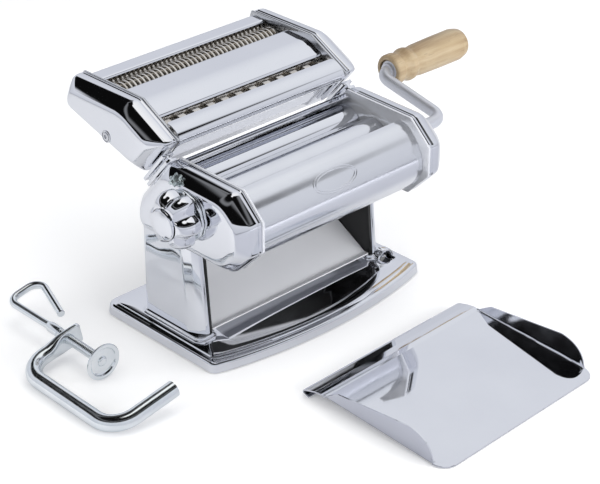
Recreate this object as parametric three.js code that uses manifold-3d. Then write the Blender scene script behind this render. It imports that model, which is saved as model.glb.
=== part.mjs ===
// Manual pasta machine with a double cutter head, a hand crank, a table clamp and a tray.
// Millimetres. X runs along the rollers, with the gap knob at -X and the crank at +X.
// The bowed front of the base faces -Y, +Z is up, and z = 0 is the table that everything stands on.
import * as THREE from 'three';
import Module from 'manifold-3d';
import { mergeVertices } from 'three/addons/utils/BufferGeometryUtils.js';

const wasm = await Module();
wasm.setup();

// ---------------------------------------------------------------- driving dimensions
const GAP = 0.3; // clearance between neighbouring pieces
const SHEET = 1.2; // thickness of the chromed sheet
const SIDES = 24; // facets of a turned piece

const BASE = {
  halfWidth: 101.8, rear: 58, front: -58, bow: 15, corner: 9.5,
  foot: 0.8, top: 9, bevel: 2.4, plinthTop: 12.4,
};
const FOOT = { halfLength: 66, halfWidth: 4, spacing: 46 };
const SOCKET = { x: 86.6, z: 8.4, bore: 6.1, outer: 8, front: -38.5, rear: -24.5 };
const STAND = {
  inner: 79.7, outer: 90, front: -32.7, rear: 26.5, corner: 9,
  bottom: 13.2, top: 79.4, lean: 0.2,
};
const PLATE = { inner: 77.4, outer: 79.4 }; // the upright end plates, from the middle of the machine
const COVER = { rim: 79.7, shoulder: 88.5, face: 98, wall: 1.3 };
const SHEET_END = 77.1; // half length of the sheets between the end plates
const ROLLER_END = 76.8; // half length of the rollers

const SLANT = new THREE.Vector2(0.643, -0.766); // direction of the sloping rear of the head, in (y, z)
const HEAD = {
  front: -85.5, nose: 18.5, noseTop: 118, noseLow: 96.3,
  topFront: 135.4, top: 136.5, bottom: 77.3, rear: 24.5, slantTop: -5, inset: 7.5,
};
const CUTTER = {
  top: 167.5, rearTop: 95, rearLow: 102, brow: 32, bottomRise: 0.31,
  nose: new THREE.Vector2(-4, 148.5), faceLength: 38, inset: 8,
};

const ROLLER = { radius: 13, z: 111, rearY: -5.5, openGap: 1.8, travel: 1.6, journal: 5 };
const REAR_AXIS = { y: ROLLER.rearY, z: ROLLER.z };
const FRONT_AXIS = { y: ROLLER.rearY - 2 * ROLLER.radius - ROLLER.openGap, z: ROLLER.z };
const GAP_AXIS = { y: FRONT_AXIS.y + ROLLER.travel / 2, z: ROLLER.z };
const CRANK_AXIS = { y: -31.5, z: 99 };

const ROLLER_GEAR = { teeth: 12, tip: 14.9, root: 10.9, tipWidth: 1.4, rootWidth: 3.7, width: 7 };
const PINION = { teeth: 14, tip: 17.1, root: 13.3, tipWidth: 1.5, rootWidth: 3.9, width: 7 };
const GEAR_START = 80.6; // inner side of the roller gears, from the middle
const CRANK_HUB = { radius: 8, stub: 5.5, bush: 10.5 };

const KNOB = {
  radius: 20.3, base: 101.8, cap: 119.6, capRadius: 10.3, lobes: 6, pinRadius: 14, steps: 5,
  shaft: 4, shoulder: 2, chamber: 7.4, shaftHead: 114.6, headRadius: 6.9,
};
const CRANK = {
  rod: 4.7, armX: 152, armEndX: 149, armY: 62.6, armZ: 15.7, bend: 9, insertTo: 84, tip: 234,
};
const GRIP = { start: 158.5, length: 81.3, bore: 5.1, mouth: 8.6 };

const FINE = { y: 78, z: 153.5, radius: 9.5, spacing: 17.6, gearTip: 10.1, gearRoot: 7.1 };
const WIDE = { y: 27.4, z: 143, radius: 10.5, spacing: 19.6, gearTip: 11.1, gearRoot: 8.0, pitch: 6.5 };
const RAIL = { length: 32, width: 9, start: 3 };

const CLAMP = {
  rod: 5.8, back: 98, leg: 51, bend: 18, lugThickness: 4, lugHeight: 14.6, lugReach: 10.5,
  screwX: 38.8, screwLift: 1.5, screwTilt: 1.8, screw: 3.7, padAt: 61, threadEnd: 119, pad: 13.6,
  handleRod: 2.4, loopLength: 46, loopWidth: 27,
  place: new THREE.Vector3(-196.4, -70.5, 5.9), roll: 11.3, yaw: -1,
};
const TRAY = {
  width: 156, length: 105.4, sheet: 1, flange: 18, flangeRear: 8.6, flangeFrom: 10, corner: 11,
  place: new THREE.Vector3(6.3, -240, 0), tilt: 4.1, yaw: 1.6,
};

// ---------------------------------------------------------------- materials
function finish(color, roughness, metalness) {
  return new THREE.MeshStandardMaterial({ color, roughness, metalness });
}

const CHROME = finish(0xdcdee2, 0.08, 1);
const STEEL = finish(0xb9bbbd, 0.3, 1);
const ZINC = finish(0xb4bcc0, 0.35, 1);
const BRONZE = finish(0xb5ad9c, 0.35, 1);
const WOOD = finish(0xd9b98a, 0.55, 0);
const RUBBER = finish(0x2a2a2c, 0.8, 0);
const NYLON = finish(0xe6e4dc, 0.5, 0);

// ---------------------------------------------------------------- solids
function solid(geometry) {
  const bare = geometry.clone();
  for (const name of ['normal', 'uv']) bare.deleteAttribute(name);
  const merged = mergeVertices(bare, 1e-4);
  const mesh = new wasm.Mesh({
    numProp: 3,
    vertProperties: new Float32Array(merged.attributes.position.array),
    triVerts: new Uint32Array(merged.index.array),
  });
  return new wasm.Manifold(mesh);
}

function geometryOf(manifold) {
  const mesh = manifold.getMesh();
  const geometry = new THREE.BufferGeometry();
  geometry.setAttribute('position', new THREE.BufferAttribute(mesh.vertProperties, 3));
  geometry.setIndex(new THREE.BufferAttribute(mesh.triVerts, 1));
  geometry.computeVertexNormals();
  return geometry;
}

function join(...pieces) {
  return geometryOf(pieces.map(solid).reduce((whole, piece) => whole.add(piece)));
}

const welded = (geometry) => geometryOf(solid(geometry));

function cut(body, ...tools) {
  return geometryOf(tools.map(solid).reduce((rest, tool) => rest.subtract(tool), solid(body)));
}

function mirrored(geometry) {
  const copy = geometry.clone().scale(-1, 1, 1);
  const index = copy.index.array;
  for (let i = 0; i < index.length; i += 3) [index[i], index[i + 1]] = [index[i + 1], index[i]];
  copy.computeVertexNormals();
  return copy;
}

const points2 = (list) => list.map(([a, b]) => new THREE.Vector2(a, b));
const polygon = (list) => new THREE.Shape(points2(list));

// Turns a drawing made in (x, y) and extruded along z into one made in (y, z) and extruded along x.
const alongX = (x0) => new THREE.Matrix4().set(0, 0, 1, x0, 1, 0, 0, 0, 0, 1, 0, 0, 0, 0, 0, 1);

// A shape drawn in (y, z) becomes a prism from x0 to x1.
function across(shape, x0, x1) {
  const prism = new THREE.ExtrudeGeometry(shape, { depth: x1 - x0, bevelEnabled: false, curveSegments: 6 });
  return prism.applyMatrix4(alongX(x0));
}

// A shape drawn in (x, y) becomes a prism from z0 to z1.
function upright(shape, z0, z1) {
  const prism = new THREE.ExtrudeGeometry(shape, { depth: z1 - z0, bevelEnabled: false, curveSegments: 5 });
  return prism.translate(0, 0, z0);
}

function box(x0, x1, y0, y1, z0, z1) {
  const geometry = new THREE.BoxGeometry(x1 - x0, y1 - y0, z1 - z0);
  return geometry.translate((x0 + x1) / 2, (y0 + y1) / 2, (z0 + z1) / 2);
}

function rodX(x0, x1, axis, radius, sides = SIDES) {
  const geometry = new THREE.CylinderGeometry(radius, radius, x1 - x0, sides);
  return geometry.rotateZ(-Math.PI / 2).translate((x0 + x1) / 2, axis.y, axis.z);
}

// A (radius, height) profile turned about Y; it may start and end on the axis.
function turned(profile, sides = SIDES) {
  const outline = points2(profile);
  if (THREE.ShapeUtils.isClockWise(outline)) outline.reverse();
  if (profile[0][0] > 0) outline.push(outline[0]);
  return welded(new THREE.LatheGeometry(outline, sides));
}

// A (radius, x) profile turned about the X direction through axis.
function turnedX(profile, axis, sides = SIDES) {
  return turned(profile, sides).rotateZ(-Math.PI / 2).translate(0, axis.y, axis.z);
}

function tubeX(x0, x1, axis, outer, inner, sides = SIDES) {
  return turnedX([[inner, x0], [outer, x0], [outer, x1], [inner, x1]], axis, sides);
}

// A strip of sheet of even thickness that follows a centre line.
function ribbon(list, thickness = SHEET) {
  const line = points2(list);
  const half = thickness / 2;
  const side = line.map((point, i) => {
    const before = line[Math.max(i - 1, 0)];
    const after = line[Math.min(i + 1, line.length - 1)];
    const into = point.clone().sub(before).normalize();
    const out = after.clone().sub(point).normalize();
    const along = into.add(out).normalize();
    return new THREE.Vector2(-along.y, along.x).multiplyScalar(half);
  });
  const left = line.map((point, i) => point.clone().add(side[i]));
  const right = line.map((point, i) => point.clone().sub(side[i])).reverse();
  const outline = [...left, ...right];
  if (THREE.ShapeUtils.isClockWise(outline)) outline.reverse();
  return new THREE.Shape(outline);
}

const sheet = (list, thickness) => across(ribbon(list, thickness), -SHEET_END, SHEET_END);

function circleHole(shape, axis, radius) {
  const hole = new THREE.Path();
  hole.absarc(axis.y, axis.z, radius, 0, 2 * Math.PI, true);
  shape.holes.push(hole);
}

// A spur gear with straight-sided teeth; phase turns one tooth onto that angle, counted from +Y.
function gear(size, x0, axis, phase, bore) {
  const outline = [];
  const pitch = (2 * Math.PI) / size.teeth;
  for (let i = 0; i < size.teeth; i += 1) {
    const centre = phase + i * pitch;
    const rootHalf = size.rootWidth / 2 / size.root;
    const tipHalf = size.tipWidth / 2 / size.tip;
    outline.push([size.root, centre - rootHalf], [size.tip, centre - tipHalf]);
    outline.push([size.tip, centre + tipHalf], [size.root, centre + rootHalf]);
  }
  const teeth = outline.map(([r, angle]) => [axis.y + r * Math.cos(angle), axis.z + r * Math.sin(angle)]);
  const shape = polygon(teeth);
  if (bore) circleHole(shape, axis, bore);
  return across(shape, x0, x0 + size.width);
}

// A drawn side cover: an outline with a flange, a sloping shoulder and a flat face, open inwards.
function drawnCover(outline, inset) {
  const body = (shrink, face) => {
    const slope = face - COVER.shoulder;
    const form = new THREE.ExtrudeGeometry(polygon(outline), {
      depth: 2 * (COVER.shoulder - COVER.rim),
      bevelEnabled: true,
      bevelSegments: 1,
      bevelThickness: slope,
      bevelSize: inset,
      bevelOffset: -inset - shrink,
    });
    return form.applyMatrix4(alongX(2 * COVER.rim - COVER.shoulder));
  };
  const inward = box(0, COVER.rim, -200, 200, 0, 300);
  const outer = cut(body(0, COVER.face), inward);
  return cut(outer, body(COVER.wall, COVER.face - COVER.wall));
}

// A round rod bent along straight runs joined by curves of the given radius.
function bentRod(corners, bend, radius, steps, sides = 10) {
  const path = new THREE.CurvePath();
  let from = corners[0];
  for (let i = 1; i < corners.length - 1; i += 1) {
    const corner = corners[i];
    const start = corner.clone().add(from.clone().sub(corner).setLength(bend));
    const end = corner.clone().add(corners[i + 1].clone().sub(corner).setLength(bend));
    path.add(new THREE.LineCurve3(from, start));
    path.add(new THREE.QuadraticBezierCurve3(start, corner, end));
    from = end;
  }
  path.add(new THREE.LineCurve3(from, corners[corners.length - 1]));
  const section = new THREE.Shape();
  section.absarc(0, 0, radius, 0, 2 * Math.PI);
  return new THREE.ExtrudeGeometry(section, { steps, extrudePath: path, curveSegments: sides });
}

// ---------------------------------------------------------------- the assembly
const machine = new THREE.Group();

function add(name, geometry, material, group = machine) {
  const mesh = new THREE.Mesh(geometry, material);
  mesh.name = name;
  group.add(mesh);
  return mesh;
}

function addPair(name, rightGeometry, material) {
  add(`${name}_right`, rightGeometry, material);
  add(`${name}_left`, mirrored(rightGeometry), material);
}

// ---------------------------------------------------------------- base and stands
function baseOutline(inset) {
  const half = BASE.halfWidth - inset;
  const rear = BASE.rear - inset;
  const front = BASE.front + inset;
  const r = BASE.corner - inset / 2;
  const shape = new THREE.Shape();
  shape.moveTo(half, front + r);
  shape.lineTo(half, rear - r);
  shape.absarc(half - r, rear - r, r, 0, Math.PI / 2);
  shape.lineTo(-half + r, rear);
  shape.absarc(-half + r, rear - r, r, Math.PI / 2, Math.PI);
  shape.lineTo(-half, front + r);
  shape.quadraticCurveTo(-half, front, -half + r, front - 2);
  shape.quadraticCurveTo(0, front - 2 * BASE.bow + 2, half - r, front - 2);
  shape.quadraticCurveTo(half, front, half, front + r);
  return shape;
}

function basePlate() {
  const pan = new THREE.ExtrudeGeometry(baseOutline(0), {
    depth: BASE.top - BASE.foot - BASE.bevel,
    bevelEnabled: true,
    bevelSegments: 2,
    bevelThickness: BASE.bevel,
    bevelSize: BASE.bevel,
    bevelOffset: -BASE.bevel,
    curveSegments: 5,
  }).translate(0, 0, BASE.foot);
  const underside = box(-120, 120, -100, 100, -20, BASE.foot);
  const hollow = upright(baseOutline(3), BASE.foot - 2, BASE.top - SHEET);
  const plinth = box(74, STAND.outer + 2.5, -35, 29, BASE.top - 0.6, BASE.plinthTop);
  const along = (radius, y0, y1) => new THREE.CylinderGeometry(radius, radius, y1 - y0, 20)
    .translate(SOCKET.x, (y0 + y1) / 2, SOCKET.z);
  const trough = SOCKET.front - 7;
  const openTop = box(70, 100, trough - 1, SOCKET.front, BASE.top, 30);
  const tube = cut(along(SOCKET.outer, trough, STAND.front - GAP), openTop);
  const pressed = join(cut(pan, hollow), plinth, mirrored(plinth), tube);
  return cut(pressed, underside, along(SOCKET.bore, trough + 1.2, SOCKET.rear));
}

function stand() {
  const r = STAND.corner;
  const line = [
    [STAND.inner + 0.7, STAND.front + 0.6],
    [STAND.inner + 1.8, STAND.front + 0.8],
    [STAND.outer - 2.2, STAND.front + r],
    [STAND.outer - 0.6, STAND.front + r + 3],
    [STAND.outer - 0.6, STAND.rear - 5],
    [STAND.outer - 2, STAND.rear - 1.6],
    [STAND.outer - 5, STAND.rear - 0.6],
    [STAND.inner + 0.7, STAND.rear - 0.6],
  ];
  const channel = upright(ribbon(line), STAND.bottom, STAND.top);
  const position = channel.attributes.position;
  for (let i = 0; i < position.count; i += 1) {
    const height = (position.getZ(i) - STAND.bottom) / (STAND.top - STAND.bottom);
    if (position.getY(i) < 0) position.setY(i, position.getY(i) * (1 - STAND.lean * height));
  }
  return welded(channel);
}

function footStrip(y) {
  const height = BASE.top - SHEET - GAP;
  return box(-FOOT.halfLength, FOOT.halfLength, y - FOOT.halfWidth, y + FOOT.halfWidth, 0, height);
}

function buildBase() {
  add('base_plate', basePlate(), CHROME);
  add('foot_front', footStrip(-FOOT.spacing), RUBBER);
  add('foot_middle', footStrip(0), RUBBER);
  add('foot_rear', footStrip(FOOT.spacing), RUBBER);
  addPair('stand', stand(), CHROME);
  const chute = [[-31, 13.6], [-26.5, 12.9], [-23.5, 14.2], [3, 29.1], [19, 40], [21.5, 44], [21.5, 74]];
  add('chute_plate', sheet(chute, 1), CHROME);
}

// ---------------------------------------------------------------- the roller head
function headOutline() {
  const slantLow = HEAD.top + ((HEAD.rear - HEAD.slantTop) * SLANT.y) / SLANT.x;
  return [
    [HEAD.front + HEAD.nose, HEAD.topFront],
    [HEAD.front, HEAD.noseTop],
    [HEAD.front, HEAD.noseLow],
    [HEAD.front + HEAD.nose, HEAD.bottom],
    [HEAD.rear, HEAD.bottom],
    [HEAD.rear, slantLow],
    [HEAD.slantTop, HEAD.top],
  ];
}

function endPlate(holes) {
  const outline = headOutline();
  const standFoot = BASE.plinthTop + GAP;
  outline.splice(4, 1, [-26, HEAD.bottom], [-31.5, standFoot], [HEAD.rear, standFoot]);
  const shape = polygon(outline);
  for (const [axis, radius] of holes) circleHole(shape, axis, radius);
  return across(shape, PLATE.inner, PLATE.outer);
}

function sideCover(axis, bore) {
  const shell = drawnCover(headOutline(), HEAD.inset);
  const slotFront = STAND.front * (1 - STAND.lean) - 1;
  const standSlot = box(COVER.rim - 1, STAND.outer + GAP, slotFront, STAND.rear + 1, 60, HEAD.bottom + 3);
  return cut(shell, standSlot, rodX(COVER.face - 4, COVER.face + 4, axis, bore));
}

function frontPanel() {
  return sheet([
    [-57, 130], [-63, 129.4], [-68.5, 125.6], [-74, 119.6], [-78.3, 112.5],
    [-80.3, 105], [-79.6, 97.5], [-76, 91], [-71, 85.2], [-65, 81.6], [-62, 82.4],
  ]);
}

function rearGuard() {
  const radius = ROLLER.radius + 1.1;
  const line = [];
  for (let degrees = 62; degrees <= 150; degrees += 11) {
    const angle = THREE.MathUtils.degToRad(degrees);
    line.push([REAR_AXIS.y + radius * Math.cos(angle), REAR_AXIS.z + radius * Math.sin(angle)]);
  }
  return sheet(line, 0.9);
}

function rail() {
  const away = new THREE.Vector2(-SLANT.y, SLANT.x);
  const corner = (along, out) => {
    const start = new THREE.Vector2(HEAD.slantTop, HEAD.top);
    return start.addScaledVector(SLANT, along).addScaledVector(away, out).toArray();
  };
  const bar = (out0, out1) => polygon([
    corner(RAIL.start, out0), corner(RAIL.start + RAIL.length, out0),
    corner(RAIL.start + RAIL.length, out1), corner(RAIL.start, out1),
  ]);
  const x0 = COVER.rim;
  const wide = across(bar(GAP, 2.6), x0, x0 + RAIL.width);
  const web = across(bar(2.4, 5), x0 + 3, x0 + 6);
  const top = across(bar(4.8, 7.2), x0, x0 + RAIL.width);
  return join(wide, web, top);
}

function panScrew(x, axis, radius, arms) {
  const head = rodX(x, x + 2.4, axis, radius, 16);
  const slot = (angle) => box(x + 1.2, x + 4, -0.6, 0.6, -radius * 0.6, radius * 0.6)
    .rotateX(angle)
    .translate(0, axis.y, axis.z);
  const cuts = [];
  for (let i = 0; i < arms; i += 1) cuts.push(slot((i * Math.PI) / arms));
  return cut(head, ...cuts);
}

function buildHead() {
  const rearHole = [REAR_AXIS, 8.3];
  const leftPlate = endPlate([rearHole, [GAP_AXIS, 10]]);
  const rightPlate = endPlate([rearHole, [GAP_AXIS, 4.3], [CRANK_AXIS, CRANK_HUB.stub + GAP]]);
  add('end_plate_left', mirrored(welded(leftPlate)), STEEL);
  add('end_plate_right', rightPlate, STEEL);
  add('side_cover_left', mirrored(sideCover(GAP_AXIS, KNOB.shaft + 2 * GAP)), CHROME);
  add('side_cover_right', sideCover(CRANK_AXIS, CRANK_HUB.bush + GAP), CHROME);
  add('front_panel', frontPanel(), CHROME);
  add('rear_panel', sheet([[-9.5, 133.2], [-4, 133.4], [20.6, 104.2], [22, 100], [22, 82]]), CHROME);
  add('rear_guard', rearGuard(), CHROME);
  add('scraper_rear', sheet([[-12.3, 98.6], [-1, 90.5], [6, 90.5]], 0.8), STEEL);
  add('scraper_front', sheet([[-26.3, 97.4], [-37, 90.5], [-44, 90.5]], 0.8), STEEL);
  add('tie_rod_front', rodX(-SHEET_END, SHEET_END, { y: -56, z: 90 }, 4), STEEL);
  add('tie_rod_rear', rodX(-SHEET_END, SHEET_END, { y: 13, z: 88 }, 4), STEEL);
  addPair('rear_bush', tubeX(PLATE.inner, PLATE.outer, REAR_AXIS, 8, ROLLER.journal + GAP), NYLON);
  addPair('rail', rail(), ZINC);
  const slope = Math.atan2(HEAD.inset, COVER.face - COVER.shoulder);
  const star = panScrew(GAP, { y: 0, z: 0 }, 4.4, 2).rotateY(slope - Math.PI / 2);
  const shoulderX = COVER.face - 2;
  const shoulderZ = HEAD.top - ((shoulderX - COVER.shoulder) * HEAD.inset) / (COVER.face - COVER.shoulder);
  add('cover_screw_left', mirrored(star.translate(shoulderX, -20.8, shoulderZ + 0.5)), ZINC);
  add('cover_screw_right', panScrew(COVER.face + GAP, { y: -52, z: 104 }, 3.4, 1), ZINC);
}

// ---------------------------------------------------------------- smooth rollers and their gears
function rearRoller() {
  const shoulder = ROLLER_END;
  const end = GEAR_START + ROLLER_GEAR.width + 0.6;
  return turnedX([
    [0, -end], [ROLLER.journal, -end], [ROLLER.journal, -shoulder], [ROLLER.radius, -shoulder],
    [ROLLER.radius, shoulder], [ROLLER.journal, shoulder], [ROLLER.journal, end], [0, end],
  ], REAR_AXIS, 32);
}

function frontRoller() {
  const neck = -(GEAR_START + ROLLER_GEAR.width + 0.6);
  return turnedX([
    [9.4, ROLLER_END], [9.4, -73], [5.6, -73], [5.6, neck], [8.4, neck],
    [8.4, -ROLLER_END], [ROLLER.radius, -ROLLER_END], [ROLLER.radius, ROLLER_END],
  ], FRONT_AXIS, 32);
}

function eccentricShaft() {
  const shaft = rodX(-KNOB.shaftHead, PLATE.outer, GAP_AXIS, KNOB.shaft, 16);
  const head = rodX(-KNOB.shaftHead, -KNOB.shaftHead + 1, GAP_AXIS, KNOB.headRadius, 20);
  const lobe = (x0) => rodX(x0, x0 + 8, FRONT_AXIS, 6);
  return join(shaft, head, lobe(-70), lobe(62));
}

function buildRollers() {
  const halfTooth = Math.PI / ROLLER_GEAR.teeth;
  add('rear_roller', rearRoller(), CHROME);
  const leftGear = -(GEAR_START + ROLLER_GEAR.width);
  const bore = ROLLER.journal + GAP;
  add('rear_roller_gear', gear(ROLLER_GEAR, leftGear, REAR_AXIS, Math.PI, bore), STEEL);
  const towardsCrank = Math.atan2(CRANK_AXIS.z - REAR_AXIS.z, CRANK_AXIS.y - REAR_AXIS.y);
  add('drive_gear', gear(ROLLER_GEAR, GEAR_START, REAR_AXIS, towardsCrank, bore), STEEL);
  add('front_roller', frontRoller(), CHROME);
  add('front_roller_gear', gear(ROLLER_GEAR, leftGear, FRONT_AXIS, halfTooth, 8.4 + GAP), STEEL);
  const bushInner = 6 + ROLLER.travel / 2 + GAP;
  addPair('front_bush', tubeX(62, 70, FRONT_AXIS, 9.4 - GAP, bushInner), NYLON);
  add('eccentric_shaft', eccentricShaft(), STEEL);
  const pinionPhase = towardsCrank + Math.PI + Math.PI / PINION.teeth;
  const pinion = gear(PINION, GEAR_START, CRANK_AXIS, pinionPhase, 0);
  const hub = rodX(GEAR_START + PINION.width - 1, COVER.face + 1, CRANK_AXIS, CRANK_HUB.radius);
  const stub = rodX(PLATE.inner, GEAR_START + 1, CRANK_AXIS, CRANK_HUB.stub, 16);
  const socket = rodX(CRANK.insertTo - GAP, 120, CRANK_AXIS, CRANK.rod + GAP, 16);
  add('crank_pinion', cut(join(pinion, hub, stub), socket), STEEL);
  const bushBore = CRANK_HUB.radius + GAP;
  add('crank_bush', tubeX(COVER.face - 1.9, COVER.face + 1.4, CRANK_AXIS, CRANK_HUB.bush, bushBore), NYLON);
}

// ---------------------------------------------------------------- gap knob
function knobBody() {
  const rim = KNOB.radius;
  const profile = [
    [0, -KNOB.base], [rim - 0.8, -KNOB.base], [rim, -KNOB.base - 0.8], [rim, -KNOB.base - 3.5],
    [rim - 1.6, -KNOB.base - 8.5], [rim - 5, -KNOB.base - 13], [KNOB.capRadius + 1.5, -KNOB.cap + 1.8],
    [KNOB.capRadius, -KNOB.cap + 1.2], [KNOB.capRadius, -KNOB.cap], [0, -KNOB.cap],
  ];
  const dome = turnedX(profile, GAP_AXIS, 36);
  const tools = [
    rodX(-KNOB.base - KNOB.shoulder - 1, -KNOB.base + 1, GAP_AXIS, KNOB.shaft + GAP),
    rodX(-KNOB.shaftHead - 1.4, -KNOB.base - KNOB.shoulder, GAP_AXIS, KNOB.chamber),
  ];
  for (let i = 0; i < KNOB.lobes; i += 1) {
    const angle = ((i + 0.5) * 2 * Math.PI) / KNOB.lobes;
    const axis = { y: GAP_AXIS.y + 25.5 * Math.cos(angle), z: GAP_AXIS.z + 25.5 * Math.sin(angle) };
    tools.push(rodX(-KNOB.cap - 1, -KNOB.base - 3, axis, 8, 16));
  }
  return cut(dome, ...tools);
}

function indexPlate() {
  const disc = new THREE.Shape();
  disc.absarc(GAP_AXIS.y, GAP_AXIS.z, 18, 0, 2 * Math.PI);
  circleHole(disc, GAP_AXIS, 4.3);
  for (let i = 0; i <= KNOB.steps; i += 1) {
    const angle = (i * Math.PI) / KNOB.steps;
    const y = GAP_AXIS.y + KNOB.pinRadius * Math.cos(angle);
    const z = GAP_AXIS.z + KNOB.pinRadius * Math.sin(angle);
    circleHole(disc, { y, z }, 1.9);
  }
  return across(disc, -COVER.face - 2.3, -COVER.face - GAP);
}

function knobSpring() {
  const turns = 4;
  const wire = 0.6;
  const start = KNOB.base + KNOB.shoulder + GAP + wire;
  const length = KNOB.shaftHead - 1 - GAP - wire - start;
  const coil = (KNOB.chamber + KNOB.shaft) / 2;
  const line = [];
  for (let i = 0; i <= turns * 10; i += 1) {
    const angle = (i * Math.PI) / 5;
    const x = -start - (i * length) / (turns * 10);
    const y = GAP_AXIS.y + coil * Math.cos(angle);
    const z = GAP_AXIS.z + coil * Math.sin(angle);
    line.push(new THREE.Vector3(x, y, z));
  }
  const section = new THREE.Shape();
  section.absarc(0, 0, wire, 0, 2 * Math.PI);
  const path = new THREE.CatmullRomCurve3(line);
  return new THREE.ExtrudeGeometry(section, { steps: turns * 12, extrudePath: path, curveSegments: 5 });
}

function buildKnob() {
  add('index_plate', indexPlate(), ZINC);
  add('gap_knob', knobBody(), CHROME);
  const pinAt = { y: GAP_AXIS.y + KNOB.pinRadius, z: GAP_AXIS.z };
  add('index_pin', rodX(-KNOB.base + GAP, -COVER.face - 2.3 - GAP, pinAt, 1.5, 12), STEEL);
  add('knob_spring', knobSpring(), STEEL);
}

// ---------------------------------------------------------------- crank and grip
function crankRod() {
  const end = { y: CRANK_AXIS.y + CRANK.armY, z: CRANK_AXIS.z + CRANK.armZ };
  const rod = bentRod([
    new THREE.Vector3(CRANK.insertTo, CRANK_AXIS.y, CRANK_AXIS.z),
    new THREE.Vector3(CRANK.armX, CRANK_AXIS.y, CRANK_AXIS.z),
    new THREE.Vector3(CRANK.armEndX, end.y, end.z),
    new THREE.Vector3(CRANK.tip, end.y, end.z),
  ], CRANK.bend, CRANK.rod, 48);
  const collar = rodX(GRIP.start + 0.8, GRIP.start + 2.6, end, 7.6, 16);
  return join(rod, collar);
}

function crankGrip() {
  const axis = { y: CRANK_AXIS.y + CRANK.armY, z: CRANK_AXIS.z + CRANK.armZ };
  const x = GRIP.start;
  const end = x + GRIP.length;
  return turnedX([
    [GRIP.mouth, x], [11, x], [12.2, x + 1.8], [12.2, x + 7], [10.6, x + 10], [11, x + 13],
    [12.8, x + 17], [12.8, x + 20], [11.4, x + 23.5], [12.2, x + 30], [12.6, x + 50], [12.7, end - 10],
    [11.8, end - 4], [9, end - 1], [6.5, end], [0, end],
    [0, end - 3.5], [GRIP.bore, end - 3.5], [GRIP.bore, x + 3], [GRIP.mouth, x + 3],
  ], axis, 20);
}

function buildCrank() {
  add('crank_rod', crankRod(), CHROME);
  add('crank_grip', crankGrip(), WOOD);
}

// ---------------------------------------------------------------- double cutter head
function cutterOutline() {
  const chin = CUTTER.nose.clone().addScaledVector(SLANT, CUTTER.faceLength);
  const rearLow = chin.y + CUTTER.bottomRise * (CUTTER.rearLow - chin.x);
  return [
    [CUTTER.rearTop, CUTTER.top], [CUTTER.brow, CUTTER.top], CUTTER.nose.toArray(),
    chin.toArray(), [CUTTER.rearLow, rearLow],
  ];
}

const cutterAxis = (pair, side) => ({ y: pair.y + (side * pair.spacing) / 2, z: pair.z });

function cutterPlate() {
  const shape = polygon(cutterOutline());
  for (const pair of [FINE, WIDE]) {
    for (const side of [-1, 1]) circleHole(shape, cutterAxis(pair, side), 4 + GAP);
  }
  return across(shape, PLATE.inner, PLATE.outer);
}

function cutterGear(pair, side) {
  const { gearTip: tip, gearRoot: root } = pair;
  const size = { teeth: 10, tip, root, tipWidth: 1.2, rootWidth: 2.7, width: 6 };
  const phase = side > 0 ? Math.PI : Math.PI / size.teeth;
  return gear(size, GEAR_START + 0.4, cutterAxis(pair, side), phase, 0);
}

// The fine rollers are plain cylinders at the middle of their grooves' height; the wide ones have
// discs that reach in between the discs of the other roller.
function cutterProfile(pair, side) {
  const profile = [[0, ROLLER_END + 11], [4, ROLLER_END + 11], [4, ROLLER_END]];
  if (!pair.pitch) {
    const radius = pair.spacing / 2 - GAP / 2;
    profile.push([radius, ROLLER_END], [radius, -ROLLER_END]);
  } else {
    const low = pair.spacing - pair.radius - GAP;
    const discs = Math.floor((2 * ROLLER_END) / pair.pitch);
    const start = (discs * pair.pitch) / 2;
    profile.push([low, ROLLER_END]);
    for (let i = 0; i < discs; i += 1) {
      if ((i % 2 === 0) !== (side > 0)) continue;
      const right = start - i * pair.pitch - GAP / 2;
      const left = right - pair.pitch + GAP;
      profile.push([low, right], [pair.radius, right], [pair.radius, left], [low, left]);
    }
    profile.push([low, -ROLLER_END]);
  }
  profile.push([4, -ROLLER_END], [4, -PLATE.outer], [0, -PLATE.outer]);
  return profile;
}

function cutterRoller(pair, side) {
  const axis = cutterAxis(pair, side);
  return join(turnedX(cutterProfile(pair, side), axis, 18), cutterGear(pair, side));
}

function comb(pair) {
  const low = pair.z - pair.radius;
  return sheet([
    [pair.y - 9, low - 1], [pair.y - 3.2, low - 0.4], [pair.y - 1.6, low - 4],
    [pair.y + 1.6, low - 4], [pair.y + 3.2, low - 0.4], [pair.y + 9, low - 1],
  ], 0.8);
}

function buildCutterHead() {
  addPair('cutter_plate', welded(cutterPlate()), STEEL);
  const cover = drawnCover(cutterOutline(), CUTTER.inset);
  add('cutter_cover_left', mirrored(cover), CHROME);
  const sockets = [cutterAxis(FINE, -1), cutterAxis(WIDE, 1)];
  const holes = sockets.map((axis) => rodX(COVER.face - 4, COVER.face + 4, axis, 6));
  add('cutter_cover_right', cut(cover, ...holes), CHROME);
  add('cutter_rear_cover', sheet([[80, 163.2], [80.6, 164.6], [92.6, 164.8], [98.8, 147.6]]), CHROME);
  const bridge = [[57.4, 160.6], [56.8, 163.6], [33.5, 162.6], [22, 156.4], [21.2, 154.8]];
  add('cutter_bridge', sheet(bridge), CHROME);
  const guard = [
    [10.5, 155.4], [5.5, 155], [0.4, 152], [-3, 147.6], [-2.4, 144.6], [0.6, 142.2], [17, 122.6],
  ];
  add('cutter_front_guard', sheet(guard), CHROME);
  for (const [name, pair] of [['fine', FINE], ['wide', WIDE]]) {
    add(`${name}_comb`, comb(pair), STEEL);
    add(`${name}_cutter_rear`, cutterRoller(pair, 1), BRONZE);
    add(`${name}_cutter_front`, cutterRoller(pair, -1), BRONZE);
  }
  addPair('cutter_screw', panScrew(COVER.face + GAP, { y: 49, z: 139.5 }, 3.2, 1), ZINC);
}

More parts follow.
